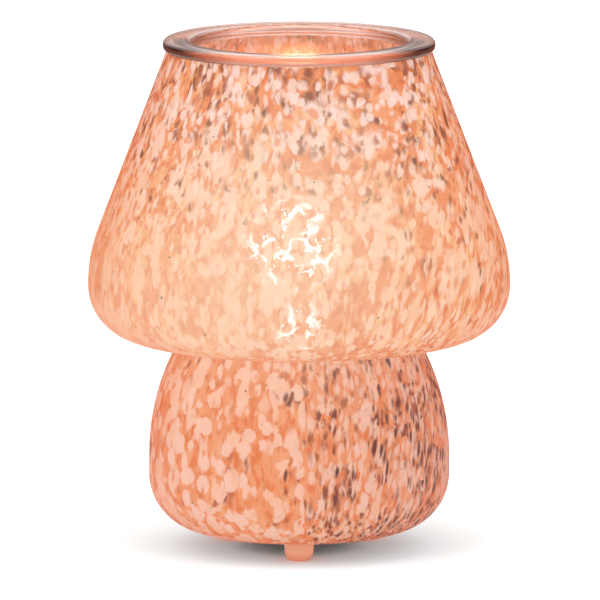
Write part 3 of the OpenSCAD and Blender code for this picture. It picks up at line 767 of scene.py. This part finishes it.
def dish():
    box = dish_box
    flange_t, edge, wall, corner, mouth_edge = 4.8, 2.0, 3.1, 8.0, 2.5
    well_r = 50.5
    under = box.z1 - flange_t
    mouth_r = well_r - wall
    outline = [(0, box.z0)]
    outline += arc((well_r - corner, box.z0 + corner), corner, -90, 0, 14)
    outline += [(well_r, under - 1), (well_r + 0.3, under - 0.3), (well_r + 1, under)]
    outline += arc((box.r - edge, under + edge), edge, -90, 0, 8)
    outline += arc((box.r - edge, box.z1 - edge), edge, 0, 90, 8)
    outline += arc((mouth_r + mouth_edge, box.z1 - mouth_edge), mouth_edge, 90, 180, 10)
    outline += arc((well_r - corner, box.z0 + corner), corner - wall, 0, -90, 12)
    outline += [(0, box.z0 + wall)]
    piece("glass_dish", turned(outline, 224), "clear_glass", "wax_dish", "dish")


def feet():
    box = Box("bumper_feet")
    foot_r, sole_r, circle_r = 6.5, 3.5, 35.0
    outline = [(0, box.z0), (sole_r * 0.6, box.z0)]
    outline += [(r, z * 1.6) for r, z in arc((sole_r, foot_r - sole_r), foot_r - sole_r, -90, 0, 12)]
    outline += [(foot_r, box.z1 - 0.5), (foot_r - 0.3, box.z1), (0, box.z1)]
    for name, angle in (("front", 270), ("rear_right", 30), ("rear_left", 150)):
        foot = turned(outline, 48, polar(circle_r, angle))
        piece("foot_" + name, foot, "clear_foot", "bumper_feet")


# ---------------------------------------------------------------- base, lamp tube and socket

def screw(r, l, head_r, head_h, pitch):
    """A pan-head screw that points along +Z, its head below 0, with a cross recess."""
    dome = head_h * 0.6
    outline = [(0, -head_h)] + arc((head_r - dome, -head_h + dome), dome, -90, 0, 6)
    outline += [(head_r, 0), (r * 0.9, 0), (r, 0.3), None, (r * 0.4, l), (0, l)]
    body = threaded(outline, r, 0.5, l - r * 0.7, pitch, r * 0.22, 28, 6)
    arm, half = head_r * 0.62, head_r * 0.13
    deep = head_h * 0.55
    cross = [moved(block(2 * arm, 2 * half, -head_h - 1, -head_h + deep, half * 0.6, 0.02, half * 0.4),
                   turn=t) for t in (0, 90)]
    return combined("DIFFERENCE", body, *cross)


def gaskets():
    for name, node in (("seal_under_glass", "gasket_lower"), ("seal_on_glass", "gasket_upper")):
        box = Box(node)
        ring = tube(box.r - 4.4, box.r, box.z0, box.z1, 0.3, 120)
        piece(name, ring, "silicone", node)


def cap_screws():
    box, circle_r, head_h = Box("cap_screws"), 17.5, 1.6
    for i, angle in enumerate((270, 30, 150)):
        place = (*polar(circle_r, angle), box.z0 + head_h)
        shape = moved(screw(1.5, box.h - head_h, 2.8, head_h, 0.9), place, turn=20 + 50 * i)
        piece(f"cap_screw_{i + 1}", shape, "zinc_steel", "cap_screws")


def clamp_screws():
    box, head_h = Box("cord_clamp_screws"), 1.4
    for name, x in (("left", -6), ("right", 6)):
        shape = moved(screw(1.25, box.l - head_h, 2.2, head_h, 0.8), (x, box.y1 - head_h, box.cz),
                      (0, -1, 0), 30 + 5 * x)
        piece("clamp_screw_" + name, shape, "zinc_steel", "cord_clamp_screws")


def lamp_tube():
    box = Box("lamp_tube")
    bore, bevel, pitch, depth = 3.5, 0.3, 1.0, 0.35
    end_r = box.r - 0.5
    outline = [(bore, box.z0 + bevel), (bore + bevel, box.z0), (end_r, box.z0), None,
               (end_r, box.z1), (bore + bevel, box.z1), (bore, box.z1 - bevel)]
    shape = threaded(outline, box.r, box.z0 + bevel, box.z1 - bevel, pitch, depth, 64)
    piece("threaded_tube", shape, "zinc_steel", "lamp_tube")


def nuts_and_washers():
    box, nut_h, bore, lead_in, chamfer = Box("tube_nuts"), 3.0, 5.03, 0.4, 0.55
    flat_r = box.r * cos(pi / 6)

    def hexagon(r, z, a):
        """Six flats, whose corners are turned off at both ends."""
        if r <= bore + 0.5:
            return r, z
        flat = flat_r / cos((a + pi / 6) % (pi / 3) - pi / 6)
        return min(r, flat), z

    for name, z in (("low", 34.0), ("middle", 41.0), ("high", 58.5)):
        top = z + nut_h
        outline = [(bore, z + lead_in), (bore + lead_in, z), (flat_r - 0.3, z), (box.r, z + chamfer),
                   (box.r, top - chamfer), (flat_r - 0.3, top), (bore + lead_in, top),
                   (bore, top - lead_in)]
        shape = turned(outline, 144, shape=hexagon)
        piece("hex_nut_" + name, shape, "zinc_steel", "tube_nuts", sharp=20)
    ring_r, hole_r, thick, edge = Box("tube_washers").r, 5.2, 1, 0.15
    for name, z in (("low", 37.0), ("middle", 40.0), ("high", 57.5)):
        shape = tube(hole_r, ring_r, z, z + thick, edge)
        piece("washer_" + name, shape, "zinc_steel", "tube_washers")


def sleeve_and_cup():
    box = Box("tube_sleeve")
    roll, waist = 0.6, 0.25
    outline = [(box.r - 1.2, box.z0), (box.r - 0.3, box.z0), (box.r, box.z0 + 0.3),
               (box.r, box.z0 + roll), (box.r - waist, box.z0 + 2 * roll),
               (box.r - waist, box.z1 - 2 * roll), (box.r, box.z1 - roll), (box.r, box.z1 - 0.3),
               (box.r - 0.3, box.z1), (box.r - 1.2, box.z1)]
    piece("spacer_sleeve", turned(outline), "brass", "tube_sleeve")
    cup = Box("socket_cup")
    wall, floor, bore, edge = 1.3, 2.0, 5.1, 1.2
    outline = [(bore, cup.z0)] + arc((cup.r - edge, cup.z0 + edge), edge, -90, 0, 8)
    outline += [(cup.r, cup.z1 - 0.9), (cup.r + 0.25, cup.z1 - 0.6), (cup.r + 0.25, cup.z1 - 0.2),
                (cup.r - 0.1, cup.z1), (cup.r - wall, cup.z1), (cup.r - wall, cup.z0 + floor + 0.5),
                (cup.r - wall - 0.5, cup.z0 + floor), (bore, cup.z0 + floor)]
    piece("socket_cap", turned(outline), "phenolic", "socket_cup")


def socket():
    box = Box("socket_housing")
    lip_z, spigot_r, bore, floor_z, round_r = 66.0, 11.15, 7.6, 70.0, 1.0
    flutes, flute_depth = 30, 0.35
    outline = [(0, box.z0), (spigot_r - 0.3, box.z0), (spigot_r, box.z0 + 0.3), (spigot_r, lip_z),
               (box.r - 0.2, lip_z), (box.r, lip_z + 0.2), (box.r, lip_z + 2.5), (box.r, lip_z + 3.2)]
    outline += [(box.r, box.z1 - 6.7), (box.r, box.z1 - 6)]
    outline += arc((box.r - round_r, box.z1 - round_r), round_r, 0, 90, 6)
    outline += [(bore + 0.5, box.z1), (bore, box.z1 - 0.5), (bore, floor_z), (0, floor_z)]

    def fluted(r, z, a):
        if r < box.r - 0.01 or not lip_z + 3 < z < box.z1 - 6.2:
            return r, z
        return r - flute_depth * abs(sin(flutes * a / 2)), z

    body = turned(outline, 240, shape=fluted)
    holes = [moved(rod(r, floor_z - depth, floor_z + 1, 20), (x, 0, 0))
             for x, r, depth in ((-1.3, 0.83, 9), (1.3, 0.83, 9), (-3, 0.73, 3), (3, 0.73, 3))]
    piece("socket_shell", combined("DIFFERENCE", body, *holes), "phenolic", "socket_housing")


def rivets():
    box, shank_r, head_r, head_h = Box("socket_rivets"), 0.7, 1.4, 0.5
    under = box.z1 - head_h
    outline = [(0, box.z0), (shank_r, box.z0), (shank_r, under)]
    outline += [(head_r * r, under + head_h * z) for r, z in arc((0, 0), 1.0, 0, 90, 8)]
    for name, x in (("left", -3), ("right", 3)):
        piece("rivet_" + name, turned(outline, 32, (x, 0)), "nickel", "socket_rivets")


def ridged_sheet(box, mid_r, depth, wall, pitch, steps=96):
    """A thin turned sheet with a rolled right-hand thread."""
    count = ceil(box.h / pitch * 10)
    rows = [box.z0 + box.h * i / count for i in range(count + 1)]
    outline = [(mid_r, z) for z in rows] + [(mid_r - wall, z) for z in reversed(rows)]

    def roll(r, z, a):
        runout = min(1, (z - box.z0) / 2, (box.z1 - z) / 2)
        return r + depth * cos(2 * pi * z / pitch - a) * runout, z

    return turned(outline, steps, shape=roll)


def screw_shells():
    pitch = 2.54
    socket_box = Box("socket_screw_shell")
    wall = 0.4
    side = ridged_sheet(socket_box, 6.75, 0.3, wall, pitch)
    tab = combined("DIFFERENCE", rod(6.6, socket_box.z0, socket_box.z0 + wall, 72),
                   moved(block(14, 16, -2, 2, 0.5), (6.6, 0, socket_box.z0)),
                   moved(rod(0.73, -2, 2, 20), (-3, 0, socket_box.z0)))
    piece("socket_thread", joined(side, tab), "brass", "socket_screw_shell")
    shell = ridged_sheet(Box("bulb_screw_shell"), 5.6, 0.25, 0.3, pitch)
    piece("bulb_cap_thread", shell, "nickel", "bulb_screw_shell", "bulb")


# ---------------------------------------------------------------- bulb

def bulb_cap():
    tip = Box("bulb_tip_contact")
    outline = [(0, tip.z0)] + arc((1.3, tip.z0 + 0.9), 0.9, -90, 0, 8) + [(2.2, tip.z1), (0, tip.z1)]
    piece("contact_button", turned(outline, 48), "nickel", "bulb_tip_contact", "bulb_tip")

    black = Box("bulb_insulator")
    outline = [(2.25, black.z0 + 0.1), (2.35, black.z0), (3.1, black.z0), (3.5, black.z0 + 0.25)]
    outline += [(black.r - 0.25, black.z0 + 1.5), (black.r, black.z0 + 1.85), (black.r, black.z1),
                (1, black.z1), (1, black.z0 + 0.6), (2.25, black.z0 + 0.6)]
    piece("cap_insulator", turned(outline, 72), "black_glass", "bulb_insulator", "bulb")


def bulb_globe():
    neck_r, throat_r, wall = 4.95, 8.0, 0.8
    neck = [(neck_r, bulb.z0), (neck_r, bulb.z0 + 4.5), (neck_r + 0.35, bulb.z0 + 5.6),
            (neck_r + 1.2, bulb.z0 + 6.9)]

    def side(inset):
        r = globe_r - inset
        throat = degrees(acos((throat_r - inset) / r))
        return [(x - inset, z) for x, z in neck] + arc((0, globe_z), r, -throat, 90, 72)

    shape = turned(side(0) + side(wall)[::-1], 144)
    clear = piece("globe", shape, "bulb_glass", "bulb_glass", "bulb", sharp=60)
    clear.visible_shadow = False


def bulb_stem(stem):
    foot_r, tube_r, tip_r = 3.9, 1.7, 1.2

    def pinched(r, z, a):
        """The stem is pressed flat round its two leads."""
        press = min(1, max(0, (z - stem.z1 + 6) / 3))
        return r * (1 + press * (0.25 * cos(a) ** 2 - 0.35 * sin(a) ** 2)), z

    outline = [(0, stem.z0), (foot_r - 0.2, stem.z0), (foot_r, stem.z0 + 0.4), (foot_r, stem.z0 + 1)]
    outline += [(3.1, stem.z0 + 2.6), (2.4, stem.z0 + 4.5), (2.0, stem.z0 + 6.5)]
    outline += [(tube_r, stem.z0 + h) for h in (9, 11, 13, 15, 17, 18.6)]
    outline += arc((0, stem.z1 - tip_r), tip_r, 30, 90, 6)
    piece("glass_stem", turned(outline, 48, shape=pinched), "bulb_glass", "bulb_stem", "bulb")


def filament(stem):
    """A coil bowed between two leads that stand on the stem."""
    arc_r, reach, wire_r, coil_r, turns = 9.0, 40.0, 0.11, 0.36, 46
    mid_z = globe_z - arc_r
    count = turns * 12
    path = []
    for i in range(count + 1):
        along = radians(reach + (180 - 2 * reach) * i / count)
        t = 2 * pi * turns * i / count
        r = arc_r + coil_r * cos(t)
        path.append((r * cos(along), coil_r * sin(t), mid_z + r * sin(along)))
    piece("coil", swept(path, circle(wire_r, 6)), "tungsten", "filament", "bulb")

    tip_x, tip_z = arc_r * cos(radians(reach)), mid_z + arc_r * sin(radians(reach))
    leads = []
    for s in (-1, 1):
        path = [(s * 0.8, 0, stem.z1 - 3), (s * 0.8, 0, stem.z1 - 0.4), (s * 1.2, 0, stem.z1 + 1.2)]
        path += [(s * (tip_x - 0.5), 0, tip_z - 1.6), (s * tip_x, 0, tip_z - 0.5), (s * tip_x, 0, tip_z)]
        path += [(s * (tip_x - 0.35), 0, tip_z + 0.4), (s * (tip_x - 0.7), 0, tip_z + 0.1)]
        leads.append(swept(path, circle(0.28, 10)))
    piece("filament_supports", joined(*leads), "nickel", "bulb_leads", "bulb")


# ---------------------------------------------------------------- cords

UP, LEFT, DOWN, RIGHT = 0, 90, 180, 270


def route(place, heading, up, moves):
    """Points along a cord that starts at place and follows moves of
    (straight run, bend radius, bend angle, way), the way being an angle about the run from above it."""
    place, heading, up = Vector(place), Vector(heading), Vector(up)
    points = [place]
    for run, r, angle, way in moves:
        place = place + heading * run
        if run:
            points.append(place)
        toward = Matrix.Rotation(radians(-way), 3, heading) @ up
        axis = heading.cross(toward)
        count = ceil(angle / 7)
        for i in range(1, count + 1):
            spin = Matrix.Rotation(radians(angle * i / count), 3, axis)
            points.append(place + toward * r - spin @ toward * r)
        if count:
            place, heading, up = points[-1], spin @ heading, spin @ up
    return points


def s_bend(lead, shift, r, way):
    angle = degrees(acos(1 - shift / (2 * r)))
    return [(lead, r, angle, way), (0, r, angle, way + 180)]


def s_length(shift, r):
    return 2 * r * sin(acos(1 - shift / (2 * r)))


def cords():
    cord_r, inner_y, inner_top, heel_r = 2.2, 7.0, 20.0, 6.0
    joint_z, rise_r, grip = switch_box.z1, 12.0, 4.0
    rise = joint_z - cord_r
    lead_end = switch_box.y0 - 2
    lead = lead_end - inner_y - heel_r - s_length(rise, rise_r)
    path = route((0, inner_y, inner_top), (0, 0, -1), (0, 1, 0),
                 [(inner_top - cord_r - heel_r, heel_r, 90, UP)]
                 + s_bend(lead, rise, rise_r, UP) + [(2 + grip, 0, 0, UP)])
    piece("cord_lamp_to_switch", swept(path, circle(cord_r, 24)), "cord_pvc", "lamp_cord")

    half, outer_r, turns, pitch = 42.0, 15.3, 4, 2 * cord_r + 0.2
    floor_z, layer, turn_r, plug_x = 3.05, 2 * cord_r + 0.1, 12.0, 36.0
    start_y = switch_box.y1 - grip
    front_y = switch_box.y1 + 29
    drop = joint_z - floor_z
    approach = front_y - turn_r - start_y - grip - 2 - s_length(drop, rise_r)
    crossing = half - s_length(layer, 10) / 2
    moves = s_bend(grip + 2, drop, rise_r, DOWN) + [(approach, turn_r, 90, RIGHT)]
    for k in range(turns + 1):
        moves.append((2 * half if k else half - turn_r, outer_r - k * pitch / 2, 180, LEFT))
    moves += s_bend(crossing, layer, 10, UP)
    for k in range(turns, -1, -1):
        moves.append((crossing if k == turns else 2 * half, outer_r - k * pitch / 2, 180, LEFT))
    moves += [(half + plug_x - turn_r, turn_r, 90, RIGHT), (22, 0, 0, UP)]
    path = route((0, start_y, joint_z), (0, 1, 0), (0, 0, 1), moves)
    piece("cord_switch_to_plug", swept(path, circle(cord_r, 24)), "cord_pvc", "plug_cord")


def wires():
    """The two insulated cores from the cord's end up through the tube to the socket's floor."""
    core_r, y, z0, tube_z, floor_z = 0.8, 7.0, 20.0, 33.0, 70.0
    reach = tube_z - z0
    bend = 2 * degrees(atan2(y, reach))
    bend_r = reach / (2 * sin(radians(bend)))
    for name, node, x, slot in (("core_live", "wire_live", 1.3, "wire_black"),
                                ("core_neutral", "wire_neutral", -1.3, "wire_white")):
        path = route((x, y, z0), (0, 0, 1), (0, -1, 0),
                     [(0, bend_r, bend, UP), (0, bend_r, bend, DOWN), (floor_z - tube_z, 0, 0, UP)])
        piece(name, swept(path, circle(core_r, 16)), slot, node)


def tie():
    """A woven tape round the coil, its end lapped over the top."""
    box = Box("cord_tie")
    thick, corner, lap, rise = 0.8, 1.5, 15.0, 0.8
    around = [(y + box.cy, z + box.cz) for y, z, _ in
              rounded(box.l - thick, box.h - thick, corner - thick / 2, 0, 5)]
    half, bevel = box.w / 2, 0.3
    edge = [(-half, 0), (-half + bevel, -thick / 2), (half - bevel, -thick / 2),
            (half, 0), (half - bevel, thick / 2), (-half + bevel, thick / 2)]
    rings = []
    count = len(around)
    for i, (y, z) in enumerate(around):
        (py, pz), (ny, nz) = around[i - 1], around[(i + 1) % count]
        out = Vector((0, nz - pz, py - ny)).normalized()
        rings.append([tuple(Vector((box.cx + a, y, z)) + out * b) for a, b in edge])
    verts, faces = lofted(rings)
    faces = faces[:-2]
    n = len(edge)
    last = (count - 1) * n
    faces += [[last + i, last + (i + 1) % n, (i + 1) % n, i] for i in range(n)]

    # The lapped end: how far along, how high and how wide it is, from where it leaves the loop
    start, end, top = -lap / 2, lap / 2, box.z1 - 0.1
    lapped = [(start - 3, 0, 1), (start - 1, 0.5, 1), (start + 2, 0.55, 1), (end, 0.55, 1),
              (end + 2, 0.55, 0.72)]
    flap = lofted([[(box.cx + a * wide, box.cy + y, top + rise * up + b) for a, b in edge]
                   for y, up, wide in lapped])
    piece("cord_tie_tape", joined((verts, faces), flap), "tie_fabric", "cord_tie")


# ---------------------------------------------------------------- switch and plug

SIDES = (-1, 1)
# The case's two screws stand cornerwise, and the rocker turns on a pin across it
POST_X, POST_Y, SCREW_R, SCREW_HEAD_R, SCREW_Z = 5, 19, 1.0, 1.9, 1.2
PIN_R, PIN_HALF, PIN_Z = 1.5, 6.6, 10


def case_half(node, name):
    """One half of the switch case, hollow, with a post for each of its two screws."""
    box, half = switch_box, Box(node)
    upper = half.z0 > 1
    wall, corner, grip, seam, edge, cord_r = 1.6, 5.0, 4.0, 0.25, 1.3, 2.25
    posts = [(s * POST_X, s * POST_Y, 0) for s in SIDES]
    outer = block(box.w, box.l, half.z0, half.z1, corner, seam if upper else edge,
                  edge if upper else seam)
    room = (half.z0 - 1, half.z1 - wall) if upper else (half.z0 + 1.8, half.z1 + 1)
    inner = block(box.w - 2 * wall, box.l - 2 * grip, *room, corner - wall)
    post = rod(2.4, half.z0, half.z1 - 0.8) if upper else rod(2.4, 0.5, half.z1)
    shape = combined("DIFFERENCE", outer, inner)
    shape = combined("UNION", shape, *[moved(post, place) for place in posts])
    cuts = [moved(rod(cord_r, 0, 6), (0, s * (box.l / 2 - grip - 1), box.z1), (0, s, 0))
            for s in SIDES]
    for place in posts:
        cuts.append(moved(rod(SCREW_R + 0.1, -1, 11.7), place))
        cuts.append(moved(rod(SCREW_HEAD_R + 0.1, -1, SCREW_Z), place))
    if upper:
        ear = block(2, 7, 7.2, 12.2, 0.3)
        shape = combined("UNION", shape, *[moved(ear, (s * 6.2, 0, 0)) for s in SIDES])
        cuts.append(block(10.4, 19.4, half.z0 - 1, half.z1 + 1, 0.8))
        cuts.append(moved(rod(PIN_R + 0.05, -PIN_HALF - 0.1, PIN_HALF + 0.1), (0, 0, PIN_Z), (1, 0, 0)))
    shape = combined("DIFFERENCE", shape, *cuts)
    piece(name, moved(shape, (0, box.cy, 0)), "white_plastic", node)


def switch_case():
    case_half("switch_case_bottom", "switch_shell_lower")
    case_half("switch_case_top", "switch_shell_upper")
    for i, s in enumerate(SIDES):
        place = (s * POST_X, switch_box.cy + s * POST_Y, SCREW_Z)
        shape = moved(screw(SCREW_R, 9, SCREW_HEAD_R, 1.0, 0.7), place, turn=25 + 40 * i)
        piece(f"switch_screw_{i + 1}", shape, "zinc_steel", "switch_screws")


def contact_spring():
    """The leaf that the rocker presses: crowned in its middle, and rounded off at its ends."""
    blade, steps = Box("switch_blade"), 40
    rings = []
    for i in range(steps + 1):
        t = 2 * i / steps - 1
        half = blade.w / 2 * (1 - max(0, abs(t) - 0.86) ** 2 * 18)
        crown = 0.3 * max(0, 1 - (t * 1.5) ** 2)
        across = [-1, -0.5, 0, 0.5, 1]
        top = [(blade.cx + half * a, blade.cy + t * blade.l / 2, blade.z1 + crown * (1 - a * a))
               for a in across]
        rings.append(top + [(x, y, z - blade.h) for x, y, z in reversed(top)])
    piece("contact_spring", lofted(rings), "brass", "switch_blade")


def switch_wires():
    """One core runs past the contacts, and the other ends at a contact on either side."""
    side_x, side_z, side_y, core_r = 3.2, 4.2, 11.0, 0.8
    end = switch_box.l / 2 - 4.3
    paths = [([(1.3, -end, 6.5), (1.6, -end + 1.5, 6.4), (side_x - 0.2, -side_y - 1, side_z + 0.2),
               (side_x, -side_y + 1, side_z), (side_x, side_y - 1, side_z),
               (side_x - 0.2, side_y + 1, side_z + 0.2), (1.6, end - 1.5, 6.4), (1.3, end, 6.5)], core_r)]
    for s in SIDES:
        paths.append(([(-1.3, s * end, 6.5), (-1.4, s * (end - 1.4), 6.3),
                       (-2.45, s * 12, 3.7), (-2.5, s * 10.7, 3.55)], core_r * 0.8))
    shapes = [moved(swept(path, circle(r, 14)), (0, switch_box.cy, 0)) for path, r in paths]
    piece("switch_core_wires", joined(*shapes), "wire_white", "switch_cores")


def rocker():
    r, dip, lean, sole, half, edge, tilt = 9.4, 2.6, 14.0, -1.5, 5.0, 0.5, 12.0
    end_y = 8.176
    foot = degrees(asin(sole / r))
    shoulder = degrees(acos(end_y / r))
    side = arc((0, 0), r, foot, shoulder, 10)
    top = []
    grip_start, grip_end, grip_pitch, grip_h = 3.6, 7.5, 1.3, 0.22
    for i in range(1, 60):
        y = end_y * (1 - i / 30)
        gripped = grip_start < abs(y) < grip_end
        grip = max(0, sin(2 * pi * (abs(y) - grip_start) / grip_pitch)) if gripped else 0
        valley = 0.35 * max(0, 1 - abs(y) / 2) ** 2
        top.append((y, dip + abs(y) * tan(radians(lean)) + grip_h * grip + valley))
    profile = side + top + [(-y, z) for y, z in reversed(side)]

    def ring(x, inset):
        shrink = 1 - inset / r
        return [(x, y * shrink, 1.2 + (z - 1.2) * shrink) for y, z in profile]

    rings = [ring(-half + edge * (1 - cos(t)), edge * (1 - sin(t)))
             for t in (radians(a) for a in range(0, 91, 22))]
    rings += [[(-x, y, z) for x, y, z in row] for row in reversed(rings)]
    pin_edge = 0.3
    pin = turned([(0, -PIN_HALF), (PIN_R - pin_edge, -PIN_HALF), (PIN_R, -PIN_HALF + pin_edge),
                  (PIN_R, PIN_HALF - pin_edge), (PIN_R - pin_edge, PIN_HALF), (0, PIN_HALF)], 32)
    nose_r, nose_z = 1.0, sole - 0.8
    nose = [(0, nose_z - nose_r)] + arc((0, nose_z), nose_r, -80, 0, 8)
    nose = turned(nose + [(nose_r, sole + 1), (0, sole + 1)], 24, (-2.5, -4))
    shape = joined(lofted(rings), moved(pin, axis=(1, 0, 0)), nose)
    spin = Matrix.Rotation(radians(tilt), 3, "X")
    shape = [tuple(spin @ Vector(v)) for v in shape[0]], shape[1]
    shape = moved(shape, (0, switch_box.cy, PIN_Z))
    piece("rocker_key", shape, "white_plastic", "rocker", "switch_rocker")


def plug():
    """A moulded plug with a ribbed tail; built along +Z, which points along -Y in place."""
    place, bore, depth = (36, 116, 7.55), 2.23, 12.0
    rings = [rounded(2 * bore, 2 * bore, bore, z) for z in (depth, -8)]
    rings += [rounded(6, 6, 3, -8), rounded(6.8, 6.8, 3.4, -7.6)]

    rib_h, rib_pitch, rib_end = 0.5, 2.4, 6.5
    for i in range(1, 65):
        z = -7.6 + 15.6 * i / 64
        rib = rib_h * (0.5 + 0.5 * cos(2 * pi * z / rib_pitch)) ** 2 if abs(z) < rib_end else 0
        r = 3.4 + 3 * (z + 8) / 16 - rib
        rings.append(rounded(2 * r, 2 * r, r, z))

    # From the round tail to the flat grip
    for i in range(1, 9):
        t = i / 8
        swell = sin(t * pi / 2)
        rings.append(rounded(12.8 + 6.2 * swell, 12.8 + 0.2 * swell, 6.4 - 1.4 * swell, 8 + 3 * t))

    ridge_h, ridge_pitch, ridge_start, ridge_end = 0.25, 2.2, 12.2, 20.8
    for i in range(1, 41):
        z = 11 + 11 * i / 40
        ridged = ridge_start < z < ridge_end
        ridge = ridge_h * max(0, sin(2 * pi * (z - ridge_start) / ridge_pitch)) if ridged else 0
        rings.append(rounded(19 + 2 * ridge, 13 + 2 * ridge, 5 + ridge, z))

    # The collar and the face that the blades stand on: width, height, corner and place along the plug
    face = [(19.2, 13.1, 5.1, 22.6), (20.6, 14.1, 5.6, 23.6), (21.7, 14.8, 5.9, 24.4), (22, 15, 6, 25.2),
            (22, 15, 6, 29.2), (21.7, 14.7, 5.85, 29.8), (20.9, 13.9, 5.5, 30)]
    rings += [rounded(w, h, r, z) for w, h, r, z in face]
    verts, faces = lofted(rings)
    verts = [(place[0] + x, place[1] - z, place[2] + y) for x, y, z in verts]
    piece("plug_moulding", (verts, faces), "cord_pvc", "plug_body")


glass_vessel()
dish()
feet()
gaskets()
cap_screws()
clamp_screws()
lamp_tube()
nuts_and_washers()
sleeve_and_cup()
socket()
rivets()
screw_shells()
bulb_cap()
bulb_globe()
bulb_stem(Box("bulb_stem"))
filament(Box("bulb_stem"))
cords()
wires()
tie()
switch_case()
contact_spring()
switch_wires()
rocker()
plug()

SOFTENED = {"base_cap": 0.35, "base_housing": 0.35, "cord_clamp": 0.35, "socket_centre_contact": 0.08,
            "switch_terminals": 0.25, "plug_blades": 0.2}
for kept, edge_width in SOFTENED.items():
    softened(kept, edge_width)

for subpart in frame["record"]["subparts"]:
    node = frame["nodes"][subpart["node"]]
    node.data.materials.clear()
    node.data.materials.append(LOOKS[subpart["material_slot"]])


# ---------------------------------------------------------------- floor, light and camera

WHITE = (1, 1, 1, 1)


def floor_look():
    """White, but dark far off at the sides to what the glass bends or mirrors."""
    look = Look("floor")
    here = look.place()
    x, _, _ = look.parts(here)
    away = look.length(here)
    far = away.step(250, 900) * (x.math("ABSOLUTE") / away).step(0.05, 0.32)
    direct = look.ray("Camera").most(look.ray("Diffuse"))
    paint = look.mix(far * (1 - direct), (0.92, 0.92, 0.92, 1), (0.2, 0.085, 0.055, 1))
    return look.shade(Base_Color=paint, Roughness=0.9, Specular_IOR_Level=0.0)


def floor():
    half = 30
    mesh = bpy.data.meshes.new("floor")
    corners = [(-half, -half, 0), (half, -half, 0), (half, half, 0), (-half, half, 0)]
    mesh.from_pydata(corners, [], [[0, 1, 2, 3]])
    _, paint = floor_look()
    mesh.materials.append(paint)
    shown(bpy.data.objects.new("floor", mesh))


def surroundings():
    """What the clear glass bends or mirrors: bright above, and dark flags low down at both sides."""
    world = bpy.data.worlds.new("studio")
    world.use_nodes = True
    tree = world.node_tree
    sky = Look.of(tree)
    x, _, z = sky.parts(sky.add("TexCoord", {}, out="Generated"))
    flags = x.math("ABSOLUTE").step(0.3, 0.8) * z.step(0.55, 0.1)
    height = (z.step(0.0, 0.3) * 0.65 + 0.35) * (1 - flags)
    bright = sky.ray("Camera").most(sky.ray("Diffuse")).most(height)
    plain = sky.mix(bright, (0.07, 0.03, 0.022, 1), WHITE)
    warmth = sky.mix(bright, (1, 0.55, 0.45, 1), WHITE)
    shade = sky.mix(1.0, plain, warmth, "MULTIPLY")
    tree.links.new(shade.socket, tree.nodes["Background"].inputs["Color"])
    bpy.context.scene.world = world


def panel(name, place, size, watts):
    """A round soft light that faces the lamp."""
    data = bpy.data.lights.new(name, "AREA")
    data.shape = "DISK"
    data.size = size
    data.energy = watts
    light = shown(bpy.data.objects.new(name, data))
    light.location = place
    light.rotation_mode = "QUATERNION"
    light.rotation_quaternion = Vector(place).to_track_quat("Z", "Y")
    light.visible_camera = False


def glow():
    """The lit bulb's own light."""
    data = bpy.data.lights.new("glow", "POINT")
    data.energy = 0.8
    data.color = srgb(255, 214, 170)[:3]
    data.shadow_soft_size = 0.018
    shown(bpy.data.objects.new("glow", data)).location = (0, 0, globe_z * MM)


def camera():
    """A long lens from far off, a little above the horizon."""
    distance, elevation, aim, width = 5.0, radians(9.0), Vector((0.0004, 0, 0.11)), 0.2647
    data = bpy.data.cameras.new("camera")
    data.lens = data.sensor_width * distance / width
    data.clip_end = 200
    eye = shown(bpy.data.objects.new("camera", data))
    back = Vector((0, -cos(elevation), sin(elevation)))
    eye.location = aim + back * distance
    eye.rotation_mode = "QUATERNION"
    eye.rotation_quaternion = (-back).to_track_quat("-Z", "Y")
    bpy.context.scene.camera = eye


floor()
surroundings()
panel("left", (-1.9, -1.5, 2.0), 2.2, 26)
panel("right", (1.9, -1.5, 2.0), 2.2, 20)
panel("top", (0, -0.2, 2.8), 2.4, 40)
glow()
camera()
bpy.context.scene.view_settings.view_transform = "Standard"
